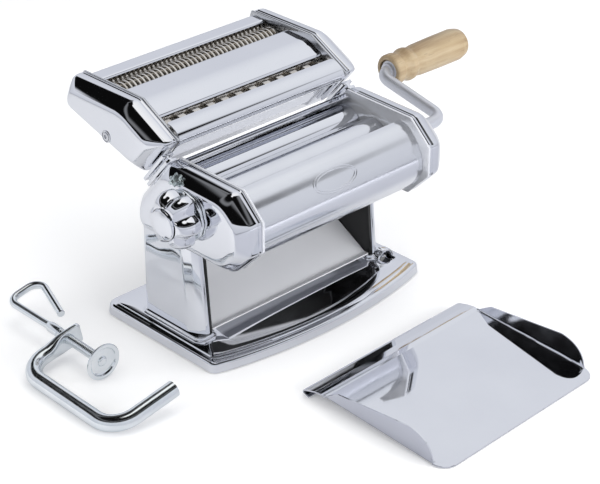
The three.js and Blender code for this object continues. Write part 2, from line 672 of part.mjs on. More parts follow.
// ---------------------------------------------------------------- table clamp, lying on its back bar
function clampFrame() {
  const { back, leg, bend, rod, screwX, screwLift, lugThickness, lugReach } = CLAMP;
  const flatFrom = screwX - 17;
  const bar = bentRod([
    new THREE.Vector3(leg, 0, 0), new THREE.Vector3(0, 0, 0),
    new THREE.Vector3(0, back, 0), new THREE.Vector3(flatFrom, back, 0),
  ], bend, rod, 40);
  const half = CLAMP.lugHeight / 2;
  const lug = polygon([
    [flatFrom - 6, -rod + 0.6], [screwX - 12, -half], [screwX + 4, -half], [screwX + lugReach, -half * 0.6],
    [screwX + lugReach, half * 0.6], [screwX + 4, half], [screwX - 12, half], [flatFrom - 6, rod - 0.6],
  ]);
  const plate = new THREE.ExtrudeGeometry(lug, { depth: lugThickness, bevelEnabled: false })
    .rotateX(Math.PI / 2)
    .translate(0, back + lugThickness / 2, screwLift / 2);
  const shoulder = new THREE.SphereGeometry(rod, 16, 10).scale(1.7, 1, 1).translate(flatFrom, back, 0);
  const bore = CLAMP.screw + GAP;
  const hole = alongScrew(new THREE.CylinderGeometry(bore, bore, 40, 16).translate(0, back, 0));
  return cut(join(bar, plate, shoulder), hole);
}

// Moves a piece made along Y, with the lug at y = back, onto the slightly tilted axis of the screw.
function alongScrew(geometry) {
  return geometry
    .translate(0, -CLAMP.back, 0)
    .rotateX(THREE.MathUtils.degToRad(CLAMP.screwTilt))
    .translate(CLAMP.screwX, CLAMP.back, CLAMP.screwLift);
}

function clampScrew() {
  const { screw, padAt, threadEnd, handleRod, loopLength, loopWidth } = CLAMP;
  const from = padAt + 2.6;
  const thread = new THREE.CylinderGeometry(screw, screw, threadEnd - from, 16)
    .translate(0, (threadEnd + from) / 2, 0);
  const handle = bentRod([
    new THREE.Vector3(0, threadEnd - 4, 0),
    new THREE.Vector3(-1.5, threadEnd + loopLength - 1, 0),
    new THREE.Vector3(loopWidth, threadEnd + loopLength, 0),
    new THREE.Vector3(13, threadEnd + 3, 0),
  ], 8, handleRod, 44);
  return alongScrew(join(thread, handle));
}

function clampPad() {
  const { pad, padAt } = CLAMP;
  const bore = CLAMP.screw + GAP;
  const disc = turned([
    [0, 1.4], [3.6, 1.4], [3.8, 0.2], [pad - 4, 0.2], [pad - 3.2, 2.4], [pad, 2.4], [pad, 0.8],
    [pad - 4, -1.8], [6.4, -1.8], [6.4, -5], [bore, -5], [bore, -2.4 + GAP], [0, -2.4 + GAP],
  ], 28);
  return alongScrew(disc.rotateX(Math.PI).translate(0, padAt, 0));
}

function buildClamp() {
  const group = new THREE.Group();
  group.position.copy(CLAMP.place);
  group.rotation.order = 'ZYX';
  group.rotation.z = THREE.MathUtils.degToRad(CLAMP.yaw);
  group.rotation.y = -THREE.MathUtils.degToRad(CLAMP.roll);
  add('clamp_frame', clampFrame(), ZINC, group);
  add('clamp_screw', clampScrew(), ZINC, group);
  add('clamp_pad', clampPad(), ZINC, group);
  machine.add(group);
}

// ---------------------------------------------------------------- tray, on its front edge and rear lip
function trayFloor() {
  const half = TRAY.width / 2;
  const r = TRAY.corner;
  const shape = new THREE.Shape();
  shape.moveTo(-half, TRAY.length);
  shape.lineTo(-half, r);
  shape.absarc(-half + r, r, r, Math.PI, 1.5 * Math.PI);
  shape.lineTo(half - r, 0);
  shape.absarc(half - r, r, r, 1.5 * Math.PI, 2 * Math.PI);
  shape.lineTo(half, TRAY.length);
  return upright(shape, 0, TRAY.sheet);
}

function traySide(sign) {
  const { width, length, sheet: thick, flange, flangeRear, flangeFrom } = TRAY;
  const x = (sign * width) / 2;
  const shape = new THREE.Shape();
  shape.moveTo(flangeFrom, 0);
  shape.lineTo(length, 0);
  shape.lineTo(length - 12, flangeRear);
  shape.lineTo(flangeFrom + 22, flange);
  shape.quadraticCurveTo(flangeFrom + 3, flange - 1, flangeFrom, 0);
  return across(shape, Math.min(x, x - sign * thick), Math.max(x, x - sign * thick));
}

function trayBack() {
  const { length, width, sheet: thick } = TRAY;
  const line = [
    [length - 2, 0.5], [length + 2, 0.8], [length + 8, -0.4], [length + 15, -2.8],
    [length + 18, -4.2], [length + 18.3, -6.2], [length + 13, -7.4],
  ];
  return across(ribbon(line, thick), -width / 2, width / 2);
}

function buildTray() {
  const group = new THREE.Group();
  group.position.copy(TRAY.place);
  group.rotation.order = 'ZXY';
  group.rotation.z = THREE.MathUtils.degToRad(TRAY.yaw);
  group.rotation.x = THREE.MathUtils.degToRad(TRAY.tilt);
  const lifted = join(trayFloor(), traySide(1), traySide(-1), trayBack());
  add('tray', lifted, CHROME, group);
  machine.add(group);
}

buildBase();
buildHead();
buildRollers();
buildKnob();
buildCrank();
buildCutterHead();
buildClamp();
buildTray();

export default machine;
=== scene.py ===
"""Pasta machine: smooth rollers, a head with two pairs of cutters, a crank, a clamp and a tray.

X runs along the rollers, with the gap knob at -X and the crank at +X. The front faces -Y.
Dimensions are in millimetres, and meshes are written in metres.
"""
from itertools import accumulate
from math import copysign, cos, pi, radians, sin, sqrt, tan
from types import SimpleNamespace as Sizes

import bmesh
import bpy
from mathutils import Matrix, Vector


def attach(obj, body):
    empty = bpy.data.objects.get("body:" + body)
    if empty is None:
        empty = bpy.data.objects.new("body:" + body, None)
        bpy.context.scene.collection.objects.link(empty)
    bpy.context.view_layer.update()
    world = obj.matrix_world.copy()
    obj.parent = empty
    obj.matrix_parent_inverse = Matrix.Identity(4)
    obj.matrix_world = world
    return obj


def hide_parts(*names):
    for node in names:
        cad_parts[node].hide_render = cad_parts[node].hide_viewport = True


MM = 0.001

# ------------ dimensions
BASE = Sizes(half=101.8, rear=58, front=-58, bow=15, corner=9.5, foot=0.8, top=9, sheet=1.2)
# The pan's upper edge: a draft, a roll, then (depth under the top, inset) points of a fine step.
PAN_EDGE = Sizes(draft=0.5, roll_at=3.4, roll_height=2.4, roll_width=2.6,
                 step=[(1, 5.2), (0.8, 5.7), (0.1, 6.1), (0, 6.6)])
WELL = Sizes(half=72.5, rear=-8, front=-47, bow=13.5, corner=9, depth=1.1)
PLINTH = Sizes(inner=73.5, outer=92.8, front=-35.5, rear=29.5, corner=7, bottom=8.4, top=12.4)
SOCKET = Sizes(x=86.6, z=8.4, bore=6.1, outer=8, front=-38.5, rear=-24.5, stand=-33)
STAND = Sizes(inner=79.7, outer=90, front=-32.7, rear=26.5, bottom=12.6, top=79.4, lean=0.2, sheet=1.2)
SHEET_END = 77.1

# A drawn cover: its flange's bead as (x, depth) points, its shoulder, and its flat face.
COVER = Sizes(rim=79.7, shoulder=87.9, face=98, wall=1.2, bulge=(0.3, -0.25), round_off=2.4,
              bead=[(0, 0.5), (0.5, 0.05), (1.3, 0), (1.9, 0.35), (2.3, 0.4)], bead_end=2.9)
# The covers' outlines from the side, counter-clockwise.
HEAD_OUTLINE = [
    (24.5, 77.3), (24.5, 101.4), (-5, 136.5), (-67, 135.4), (-85.5, 118), (-85.5, 96.3), (-67, 77.3),
]
CUTTER_OUTLINE = [(102, 144.06), (95, 167.5), (32, 167.5), (-4, 148.5), (20.43, 119.39)]

REAR_AXIS = (-5.5, 111)
FRONT_AXIS = (-33.3, 111)
GAP_AXIS = (-32.5, 111)
CRANK_AXIS = (-31.5, 99)
CUTTER_SCREW_AXIS = (49, 139.5)
HEAD_SCREW_AXIS = (-52, 104)
ROLLER = Sizes(radius=13, end=76.8, journal=5, neck=88.2, chamfer=0.5)
FRONT_TUBE = Sizes(bore=9.4, wall=-73, sleeve=8.4, sleeve_bore=5.6)
GUARD = Sizes(radius=14.1, first=62, last=150, sheet=0.9)  # round the rear axis, in degrees

FINE = Sizes(y=78, z=153.5, radius=9.5, spacing=17.6, pitch=2.0, gear_tip=10.1, gear_root=7.1)
WIDE = Sizes(y=27.4, z=143, radius=10.5, spacing=19.6, pitch=6.5, gear_tip=11.1, gear_root=8.0)
CUTTER = Sizes(end=76.8, left=79.4, right=87.8, shaft=4, chamfer=0.4, tip_gap=0.35, side_gap=0.15,
               teeth=10, tip_width=1.2, root_width=2.7, gear_ends=(81, 87))

KNOB = Sizes(radius=20.3, base=101.8, back=17, foot=4.5, cap=119.6, cap_radius=10.5, groove=1.6,
             lobes=6, hollow=4.4, bore=4.3, back_wall=2, chamber=7.4, chamber_end=116)
KNOB_SPRING = Sizes(start=108.7, end=112.7, radius=5.7, wire=0.55, turns=3)  # as the pulled knob squeezes it
CRANK = Sizes(rod=4.7, arm_x=152, arm_end_x=149, arm_y=62.6, arm_z=15.7, bend=10, insert=84, tip=234)
# The rod's washer and boss in the grip's mouth: (distance from the mouth, radius).
CRANK_WASHER = [(0.8, 6.9), (1.1, 7.5), (2.2, 7.5), (2.6, 7.1)]
CRANK_BOSS = [(-1.8, 4.9), (-1.2, 6.0), (0.6, 6.0), (0.9, 5.4)]
GRIP = Sizes(start=158.5, length=81.3, bore=5.1, mouth=8.6)

# Screws: (height over the cover, radius) of a round head, and the star screw's levels.
SCREW_HEAD = [(-0.4, 4.4), (0.35, 4.4), (0.5, 4.2), (0.5, 3.7), (-0.2, 3.6), (-0.2, 3.2), (0.6, 3.1),
              (0.9, 2.5), (0.9, 1.7)]
SCREW_SOCKET = Sizes(radius=1.5, ends=(0, 2))
STAR_SCREW = Sizes(
    place=(-96, -20.8, 131.1), lean=(-0.62, 0, 0.785), points=6, radius=5.9, valley=0.58, corner=0.7,
    levels=[(0.35, 0.9), (0.7, 1), (2.0, 1), (2.6, 0.86)],
    washer=[(0.05, 3.9), (0.5, 3.9), (0.7, 3.6)], button=[(2.5, 1.5), (2.85, 1.4), (3.0, 1.0)],
)

CLAMP = Sizes(
    rod=5.8, back=98, leg=51, bend=18, lug=2, lug_height=7.4, lug_reach=10.5, screw_x=38.8,
    screw_lift=1.5, screw_tilt=1.8, screw=3.7, thread_pitch=1.6, thread_depth=0.32, pad_at=61,
    thread_end=119, wire=2.8, loop_length=46, loop_width=27, chamfer=0.9,
    place=(-196.4, -70.5, 5.9), roll=11.3, yaw=-1,
)
# The clamp's dished pad and its riveted neck: (radius, distance along the screw).
CLAMP_PAD = [
    (0.05, -1.8), (2.2, -1.7), (3.3, -1.1), (3.6, -0.3), (4.4, -0.2), (9, -0.3), (10, -0.9), (10.7, -2.1),
    (12, -2.4), (13.3, -2.2), (13.6, -1.6), (13.3, -0.9), (11.6, -0.4), (10, 1.4), (7.2, 1.9), (6.4, 2.6),
    (6.4, 4.6), (6.0, 5), (4.0, 5),
]
TRAY = Sizes(
    width=156, length=105.4, sheet=1, flange=18, flange_rear=8.6, flange_from=10, rise=22, steep=3,
    tail=12, fold=2.0, corner=11, place=(6.3, -240, 0), tilt=4.1, yaw=1.6,
)
# The tray's rear lip: (distance past the bed, height).
TRAY_LIP = [(-2, 0.5), (2, 0.8), (8, -0.4), (15, -2.8), (18, -4.2), (18.3, -6.2), (13, -7.4)]

# Lines of the sheets that run between the end plates: (y, z) points, thickness, bend radius.
SHEETS = {
    "front_panel": ([
        (-57, 130), (-63, 129.4), (-68.5, 125.6), (-74, 119.6), (-78.3, 112.5), (-80.3, 105),
        (-79.6, 97.5), (-76, 91), (-71, 85.2), (-65, 81.6), (-62, 82.4),
    ], 1.2, 30),
    "rear_panel": ([(-9.5, 133.2), (-4, 133.4), (20.6, 104.2), (22, 100), (22, 82)], 1.2, 4),
    "cutter_rear_cover": ([(80, 163.2), (80.6, 164.6), (92.6, 164.8), (98.8, 147.6)], 1.2, 3),
    "cutter_bridge": ([(57.4, 160.6), (56.8, 163.6), (33.5, 162.6), (22, 156.4), (21.2, 154.8)], 1.2, 26),
    "cutter_front_guard": ([
        (10.5, 155.4), (5.5, 155), (0.4, 152), (-3, 147.6), (-2.4, 144.6), (0.6, 142.2), (17, 122.6),
    ], 1.2, 12),
    "chute_plate": ([
        (-31, 13.6), (-26.5, 12.9), (-23.5, 14.2), (3, 29.1), (19, 40), (21.5, 44), (21.5, 74),
    ], 1.0, 8),
}
SHEET_CORNER = 2.0
BADGE = Sizes(x=-3, along=0.31, ovals=[(20, 8), (17.8, 6.3)], wire=0.35, sink=0.05)

# ------------ looks
# Metals: colours, lowest and highest roughness, patches and waves as metal() takes them.
METALS = {
    "chrome": dict(light=(0.86, 0.87, 0.90), dark=(0.82, 0.83, 0.865), rough=(0.025, 0.075),
        mottle=18, wave=(14, 0.18)),
    "pressed_chrome": dict(light=(0.86, 0.87, 0.90), dark=(0.80, 0.815, 0.85), rough=(0.025, 0.07),
        mottle=20, wave=(24, 0.9)),
    "panel_chrome": dict(light=(0.87, 0.88, 0.905), dark=(0.83, 0.84, 0.87), rough=(0.10, 0.2),
        mottle=16, wave=(10, 0.12), grain=(700, (0.02, 1, 1), 0.006, 0.08)),
    "roller_chrome": dict(light=(0.84, 0.85, 0.88), dark=(0.8, 0.81, 0.845), rough=(0.06, 0.13),
        mottle=25, wave=(10, 0.05), grain=(500, (1, 0.05, 0.05), 0.004, 0.08)),
    "chute_steel": dict(light=(0.72, 0.725, 0.745), dark=(0.68, 0.685, 0.71), rough=(0.28, 0.4),
        mottle=14, wave=(8, 0.1), grain=(600, (0.02, 1, 1), 0.003, 0.05), metallic=0.12),
    "crank_plating": dict(light=(0.74, 0.75, 0.79), dark=(0.69, 0.70, 0.74), rough=(0.42, 0.52),
        mottle=40, wave=(30, 0.06), grain=(1300, (1, 1, 1), 0.004, 0.05), metallic=0.8),
    "bright_steel": dict(light=(0.72, 0.73, 0.75), dark=(0.64, 0.65, 0.67), rough=(0.16, 0.26),
        mottle=35, wave=(10, 0.08), grain=(900, (0.05, 1, 1), 0.002, 0.08)),
    "zinc_plate": dict(light=(0.93, 0.955, 0.965), dark=(0.82, 0.86, 0.885), rough=(0.09, 0.2),
        mottle=60, wave=(45, 0.14), grain=(1400, (1, 1, 1), 0.003, 0.06)),
    "dull_zinc_plate": dict(light=(0.78, 0.85, 0.83), dark=(0.62, 0.70, 0.68), rough=(0.22, 0.38),
        mottle=120, wave=(60, 0.1)),
    "plate_steel": dict(light=(0.80, 0.81, 0.84), dark=(0.72, 0.73, 0.76), rough=(0.14, 0.24),
        mottle=35, wave=(10, 0.08), metallic=0.5),
    "cutter_steel": dict(light=(0.80, 0.765, 0.71), dark=(0.66, 0.62, 0.56), rough=(0.14, 0.26),
        mottle=80, wave=(30, 0.05), grain=(1200, (1, 0.04, 0.04), 0.008, 0.1)),
}
# Painted shade: the end plates are painted near black low down, and the chute high up under the head, in
# place of shade and dark reflections there. Given as the height where they are still bright, and the one
# where they are black.
PAINTED_SHADE_HEIGHTS = {"plate_steel": (80, 70), "chute_steel": (41, 44)}

# CAD parts that keep their shape: material, rounding of the edges, names.
KEPT_PARTS = [
    ("black_rubber", 0.5, ["foot_front", "foot_middle", "foot_rear"]),
    ("plate_steel", 0.3, ["end_plate_left", "end_plate_right"]),
    ("bright_steel", 0.3, ["tie_rod_front", "tie_rod_rear", "cutter_plate_left", "cutter_plate_right"]),
    ("bright_steel", 0.2, ["rear_roller_gear", "drive_gear", "front_roller_gear", "crank_pinion",
                           "eccentric_shaft", "index_pin"]),
    ("bright_steel", 0.15, ["scraper_rear", "scraper_front", "fine_comb", "wide_comb"]),
    ("white_nylon", 0.3, ["rear_bush_left", "rear_bush_right", "front_bush_left", "front_bush_right",
                          "crank_bush"]),
    ("chrome", 0.4, ["rail_left", "rail_right"]),
    ("zinc_plate", 0.2, ["index_plate"]),
]

# The studio's black side and the faint sheen in it. An edge is the start and end of a soft step, in the
# cosine of the angle to the side's middle, which is given in degrees, or in height on a unit sphere.
FLAG = Sizes(black=0.004, toward=188, side=(-0.74, -0.64), low=(0.55, 0.585), high=(0.98, 0.993),
             sheen=0.22, sheen_low=(0.715, 0.755), sheen_high=(0.765, 0.815))
TENT = [(0.0, (0.60, 0.62, 0.68)), (0.5, (0.70, 0.72, 0.78)), (0.8, (0.84, 0.86, 0.9)),
        (0.97, (1.0, 1.0, 1.0))]
# The floor in metres, and where its reflection turns from grey to pale.
FLOOR = Sizes(half=4.0, z=-0.0004, grey_edge=(-0.16, -0.04), glow=0.14)
# Area lights in metres and watts: name, place, aim, size, power.
LIGHTS = [
    ("key", (0.15, -0.2, 1.7), (0, -0.05, 0.05), (2.4, 2.4), 19),
    ("fill_left", (-1.3, 0.1, 1.0), (0, 0, 0.05), (1.4, 1.2), 8),
    ("fill_front", (0.3, -1.4, 0.36), (0, 0, 0.05), (1.8, 0.6), 20),
]
CAMERA = Sizes(place=(-0.8133, -0.8824, 0.7043), aim=(-0.0312, -0.070, 0.080), lens=115.2, sensor=36)


# ------------ objects
def new_object(name, points, faces, place=None):
    """Adds an object made from points in millimetres."""
    place = place or Matrix.Identity(4)
    mesh = bpy.data.meshes.new(name)
    mesh.from_pydata([(place @ Vector(p)) * MM for p in points], [], faces)
    made = bpy.data.objects.new(name, mesh)
    bpy.context.scene.collection.objects.link(made)
    return made


def placed(place, yaw, lean, axis):
    """Leans about the X or Y axis, then turns about Z, then moves; angles are in degrees."""
    turn = Matrix.Rotation(radians(yaw), 4, "Z")
    return Matrix.Translation(place) @ turn @ Matrix.Rotation(radians(lean), 4, axis)


def mesh_piece(name, shape, material, body, sharp=38, replaced=None, place=None):
    """Makes a smooth-shaded piece from (points, faces), which rides on a body."""
    piece = new_object(name, *shape, place)
    face_outwards(piece.data)
    smooth(piece.data, sharp)
    piece.data.materials.append(materials[material])
    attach(piece, body)
    if replaced:
        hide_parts(replaced)
    return piece


def dress(name, material, width):
    """Gives a CAD part its material and rounds its edges."""
    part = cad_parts[name]
    part.data.materials.clear()
    part.data.materials.append(materials[material])
    smooth(part.data, 32)
    weld = part.modifiers.new("weld", "WELD")
    weld.merge_threshold = 1e-5
    soften(part, width)


def face_outwards(mesh):
    """Joins points that coincide and turns every face outwards."""
    made = bmesh.new()
    made.from_mesh(mesh)
    bmesh.ops.remove_doubles(made, verts=made.verts, dist=1e-6)
    bmesh.ops.recalc_face_normals(made, faces=made.faces)
    made.to_mesh(mesh)
    made.free()


def smooth(mesh, sharp):
    """Shades a mesh smoothly, apart from edges that are sharper than an angle."""
    for polygon in mesh.polygons:
        polygon.use_smooth = True
    mesh.set_sharp_from_angle(angle=radians(sharp))


def soften(piece, width):
    """Rounds every sharp edge."""
    bevel = piece.modifiers.new("edges", "BEVEL")
    bevel.width = width * MM
    bevel.segments = 2
    bevel.limit_method = "ANGLE"
    bevel.angle_limit = radians(38)
    bevel.harden_normals = True


def bored(piece, tools):
    """Cuts the tools' (points, faces) out of a piece and keeps the result in its mesh."""
    cutters = [new_object(f"tool_{number}", *tool) for number, tool in enumerate(tools)]
    for cutter in cutters:
        face_outwards(cutter.data)
        hole = piece.modifiers.new("hole", "BOOLEAN")
        hole.operation = "DIFFERENCE"
        hole.solver = "EXACT"
        hole.object = cutter
    apply_modifiers(piece)
    for cutter in cutters:
        bpy.data.objects.remove(cutter)


def apply_modifiers(piece):
    view = bpy.context.evaluated_depsgraph_get()
    view.update()
    mesh = bpy.data.meshes.new_from_object(piece.evaluated_get(view))
    piece.modifiers.clear()
    piece.data = mesh


# ------------ solids from rings
def skin(rings, caps=True):
    """Joins neighbouring rings of points with faces, and closes both ends if caps is set."""
    count = len(rings[0])
    points = [point for ring in rings for point in ring]
    faces = []
    for r in range(len(rings) - 1):
        for i in range(count):
            j = (i + 1) % count
            faces.append((r * count + i, r * count + j, (r + 1) * count + j, (r + 1) * count + i))
    if caps:
        last = (len(rings) - 1) * count
        faces.append(tuple(reversed(range(count))))
        faces.append(tuple(range(last, last + count)))
    return points, faces


def merged(*parts):
    """Puts several (points, faces) pairs into one."""
    points, faces = [], []
    for some_points, some_faces in parts:
        start = len(points)
        points += [tuple(p) for p in some_points]
        faces += [tuple(start + i for i in face) for face in some_faces]
    return points, faces


def circle(count, radius=1.0):
    """Evenly spaced 2-D points round a circle."""
    angles = [2 * pi * k / count for k in range(count)]
    return [(radius * cos(angle), radius * sin(angle)) for angle in angles]


def turned(profile, along, centre=(0, 0), steps=72, hollow=False):
    """Turns (place, radius) points about a line in the direction along: "x", "y" or "z".

    centre gives the line's other two coordinates. A hollow solid's profile closes on itself.
    """
    slot = "xyz".index(along)
    rings = []
    for place, radius in profile + (profile[:1] if hollow else []):
        ring = [[centre[0] + u, centre[1] + v] for u, v in circle(steps, radius)]
        for point in ring:
            point.insert(slot, place)
        rings.append(ring)
    return skin(rings, caps=not hollow)


def swept(path, radius, sides=28, first=None, last=None):
    """A round rod along a line of 3-D points; first and last are the radii of its ends."""
    path = [Vector(p) for p in path]
    path = [p for i, p in enumerate(path) if i == 0 or (p - path[i - 1]).length > 1e-4]
    radii = [first or radius] + [radius] * (len(path) - 2) + [last or radius]
    side = (path[1] - path[0]).normalized().orthogonal().normalized()
    rings = []
    for i, point in enumerate(path):
        ahead = (path[min(i + 1, len(path) - 1)] - path[max(i - 1, 0)]).normalized()
        side = (side - ahead * side.dot(ahead)).normalized()
        up = ahead.cross(side)
        rings.append([point + side * u + up * v for u, v in circle(sides, radii[i])])
    return skin(rings)


# ------------ lines and outlines
def arc(centre, radius, first, last, steps):
    """2-D points of an arc from one angle to another, in degrees."""
    angles = [radians(first + (last - first) * k / steps) for k in range(steps + 1)]
    return [(centre[0] + radius * cos(angle), centre[1] + radius * sin(angle)) for angle in angles]


def arc_between(centre, start, end, steps):
    """Points of the arc about centre from start to end."""
    a, b = start - centre, end - centre
    angle = a.angle(b)
    line = []
    for k in range(steps + 1):
        share = k / steps
        reach = a * sin((1 - share) * angle) + b * sin(share * angle)
        line.append(centre + reach / sin(angle))
    return line


def fillet(corners, radius, steps=6, closed=False):
    """Rounds the corners of a line of 2-D or 3-D points with arcs."""
    corners = [Vector(corner) for corner in corners]
    count = len(corners)
    line = []
    for i, corner in enumerate(corners):
        if not closed and i in (0, count - 1):
            line.append(corner)
            continue
        before = corners[i - 1] - corner
        after = corners[(i + 1) % count] - corner
        angle = before.angle(after)
        if angle > radians(179.5):
            line += [corner] * (steps + 1)
            continue
        reach = min(radius / tan(angle / 2), 0.49 * before.length, 0.49 * after.length)
        start = corner + before.normalized() * reach
        end = corner + after.normalized() * reach
        middle = (before.normalized() + after.normalized()).normalized()
        centre = corner + middle * (reach / cos(angle / 2))
        line += arc_between(centre, start, end, steps)
    return line


def curve_point(start, corner, end, share):
    """A point of the quadratic curve from start to end that heads for corner."""
    return start.lerp(corner, share).lerp(corner.lerp(end, share), share)


def rounded(corners, steps):
    """A quadratic B-spline that starts and ends on the first and the last corner."""
    corners = [Vector(corner) for corner in corners]
    line = [corners[0]]
    for i in range(1, len(corners) - 1):
        start = corners[0] if i == 1 else (corners[i - 1] + corners[i]) / 2
        end = corners[-1] if i == len(corners) - 2 else (corners[i] + corners[i + 1]) / 2
        line += [curve_point(start, corners[i], end, k / steps) for k in range(1, steps + 1)]
    return line


def eased(corners, reach, steps):
    """Rounds a closed outline with curves that start the same distance from every corner."""
    line = []
    for i, corner in enumerate(corners):
        before = corners[i - 1] - corner
        after = corners[(i + 1) % len(corners)] - corner
        length = min(reach, 0.49 * before.length, 0.49 * after.length)
        start = corner + before.normalized() * length
        end = corner + after.normalized() * length
        line += [curve_point(start, corner, end, k / steps) for k in range(steps + 1)]
    return line


def inset_outline(corners, inset):
    """Moves every side of a counter-clockwise outline inwards by the same amount."""
    corners = [Vector(corner) for corner in corners]
    moved = []
    for i, corner in enumerate(corners):
        into = (corner - corners[i - 1]).normalized()
        out = (corners[(i + 1) % len(corners)] - corner).normalized()
        side = Vector((-into.y, into.x)) + Vector((-out.y, out.x))
        moved.append(corner + side * (inset / (1 + into.dot(out))))
    return moved


def strip(line, thickness):
    """The closed outline of a sheet of even thickness along an open line of 2-D points."""
    left, right = [], []
    for i, point in enumerate(line):
        along = (line[min(i + 1, len(line) - 1)] - line[max(i - 1, 0)]).normalized()
        side = Vector((-along.y, along.x)) * (thickness / 2)
        left.append(point + side)
        right.append(point - side)
    return left + right[::-1]


def distances(line):
    """How far along a line each of its points lies."""
    return list(accumulate([0.0] + [(b - a).length for a, b in zip(line, line[1:])]))


def even_points(line, cut, count):
    """Evenly spaced points of a line, with the same length taken off both of its ends."""
    lengths = distances(line)
    points, i = [], 0
    for k in range(count):
        wanted = cut + (lengths[-1] - 2 * cut) * k / (count - 1)
        while i < len(lengths) - 2 and lengths[i + 1] < wanted:
            i += 1
        share = (wanted - lengths[i]) / (lengths[i + 1] - lengths[i])
        points.append(line[i].lerp(line[i + 1], share))
    return points


# ------------ material nodes
def shader(name):
    """A new material: (material, its node tree, its Principled node)."""
    made = bpy.data.materials.new(name)
    made.use_nodes = True
    tree = made.node_tree
    return made, tree, tree.nodes["Principled BSDF"]


def feed(tree, value, target):
    """Links another node's output to an input, or sets a plain value on it."""
    if isinstance(value, bpy.types.NodeSocket):
        tree.links.new(value, target)
    else:
        target.default_value = value


def fill(tree, node, **inputs):
    """Feeds a node's inputs; _ in a name stands for a space."""
    for name, value in inputs.items():
        feed(tree, value, node.inputs[name.replace("_", " ")])
    return node


def add_node(tree, kind, **inputs):
    return fill(tree, tree.nodes.new("ShaderNode" + kind), **inputs)


def axes(tree, coordinates):
    """The x, y and z outputs of a texture coordinate."""
    place = add_node(tree, "TexCoord").outputs[coordinates]
    return add_node(tree, "SeparateXYZ", Vector=place).outputs


def noise(tree, scale, stretch=(1, 1, 1), detail=3.0, roughness=0.5):
    """A noise texture in the piece's own coordinates; scale is in cells per metre."""
    place = add_node(tree, "TexCoord").outputs["Object"]
    place = add_node(tree, "Mapping", Vector=place, Scale=stretch).outputs["Vector"]
    texture = add_node(tree, "TexNoise", Vector=place, Scale=scale, Detail=detail, Roughness=roughness)
    return texture.outputs["Fac"]


def ramp(tree, source, *stops):
    """A colour ramp; stops are (position, colour or grey value)."""
    node = add_node(tree, "ValToRGB", Fac=source)
    elements = node.color_ramp.elements
    while len(elements) < len(stops):
        elements.new(0.5)
    for element, (position, value) in zip(elements, stops):
        rgb = value if isinstance(value, tuple) else (value, value, value)
        element.position = position
        element.color = (*rgb, 1)
    return node.outputs["Color"]


def mixed(tree, share, first, second, mode="MIX"):
    """Mixes two colours; share, first and second are outputs or plain values."""
    node = tree.nodes.new("ShaderNodeMix")
    node.data_type = "RGBA"
    node.blend_type = mode
    return fill(tree, node, Factor=share, A=first, B=second).outputs["Result"]


def math_node(tree, operation, *values):
    node = tree.nodes.new("ShaderNodeMath")
    node.operation = operation
    for value, target in zip(values, node.inputs):
        feed(tree, value, target)
    return node.outputs[0]


def times(tree, first, second):
    return math_node(tree, "MULTIPLY", first, second)


def remainder(tree, value):
    """1 minus a value."""
    return math_node(tree, "SUBTRACT", 1, value)


def step_between(tree, value, low, high):
    """0 below low, 1 above high, smooth between."""
    node = add_node(tree, "MapRange", Value=value, From_Min=low, From_Max=high)
    node.interpolation_type = "SMOOTHSTEP"
    return node.outputs["Result"]


def band(tree, value, rise, fall):
    """1 between two soft steps, and 0 outside them."""
    return times(tree, step_between(tree, value, *rise), remainder(tree, step_between(tree, value, *fall)))


def bumped(tree, principled, *heights):
    """Adds bumps of (height source, distance in mm, strength), one on top of the other."""
    below = {}
    for source, distance, strength in heights:
        bump = add_node(tree, "Bump", Height=source, Distance=distance * MM, Strength=strength, **below)
        below = {"Normal": bump.outputs["Normal"]}
    fill(tree, principled, **below)


# ------------ materials
def metal(name, light, dark, rough, mottle, wave, grain=None, metallic=1.0):
    """A metal whose colour and gloss vary a little, with a slightly uneven surface.

    rough is the lowest and highest roughness, and mottle the cells per metre of its patches. wave is
    (cells per metre, height in mm) of the unevenness. grain is (cells per metre, stretch, height in
    mm, extra roughness) of fine lines.
    """
    made, tree, principled = shader(name)
    color = ramp(tree, noise(tree, mottle, detail=4), (0.3, dark), (0.7, light))
    patches = noise(tree, mottle * 3.1, detail=6, roughness=0.65)
    smudges = ramp(tree, patches, (0.35, rough[0]), (0.8, rough[1]))
    heights = [(noise(tree, wave[0], detail=1), wave[1], 1.0)]
    if grain:
        cells, stretch, height, extra = grain
        lines = noise(tree, cells, stretch=stretch, detail=4, roughness=0.7)
        heights.append((lines, height, 1.0))
        more = ramp(tree, lines, (0.3, rough[0]), (0.75, rough[1] + extra))
        smudges = mixed(tree, 0.5, smudges, more)
    fill(tree, principled, Metallic=metallic, Base_Color=color, Roughness=smudges)
    bumped(tree, principled, *heights)
    return made


def paint_height_shade(made, bright_at, shade_at):
    """Paints shade into a metal: near black from one height to another, with a soft edge between them."""
    tree = made.node_tree
    principled = tree.nodes["Principled BSDF"]
    bright = principled.inputs["Base Color"].links[0].from_socket
    # Painted shade: a near black colour that takes the place of the metal's own colour.
    black = ramp(tree, noise(tree, 60), (0.3, 0.012), (0.7, 0.022))
    low, high = sorted((bright_at, shade_at))
    share = step_between(tree, axes(tree, "Object")["Z"], low * MM, high * MM)
    colors = (black, bright) if shade_at < bright_at else (bright, black)
    fill(tree, principled, Base_Color=mixed(tree, share, *colors))


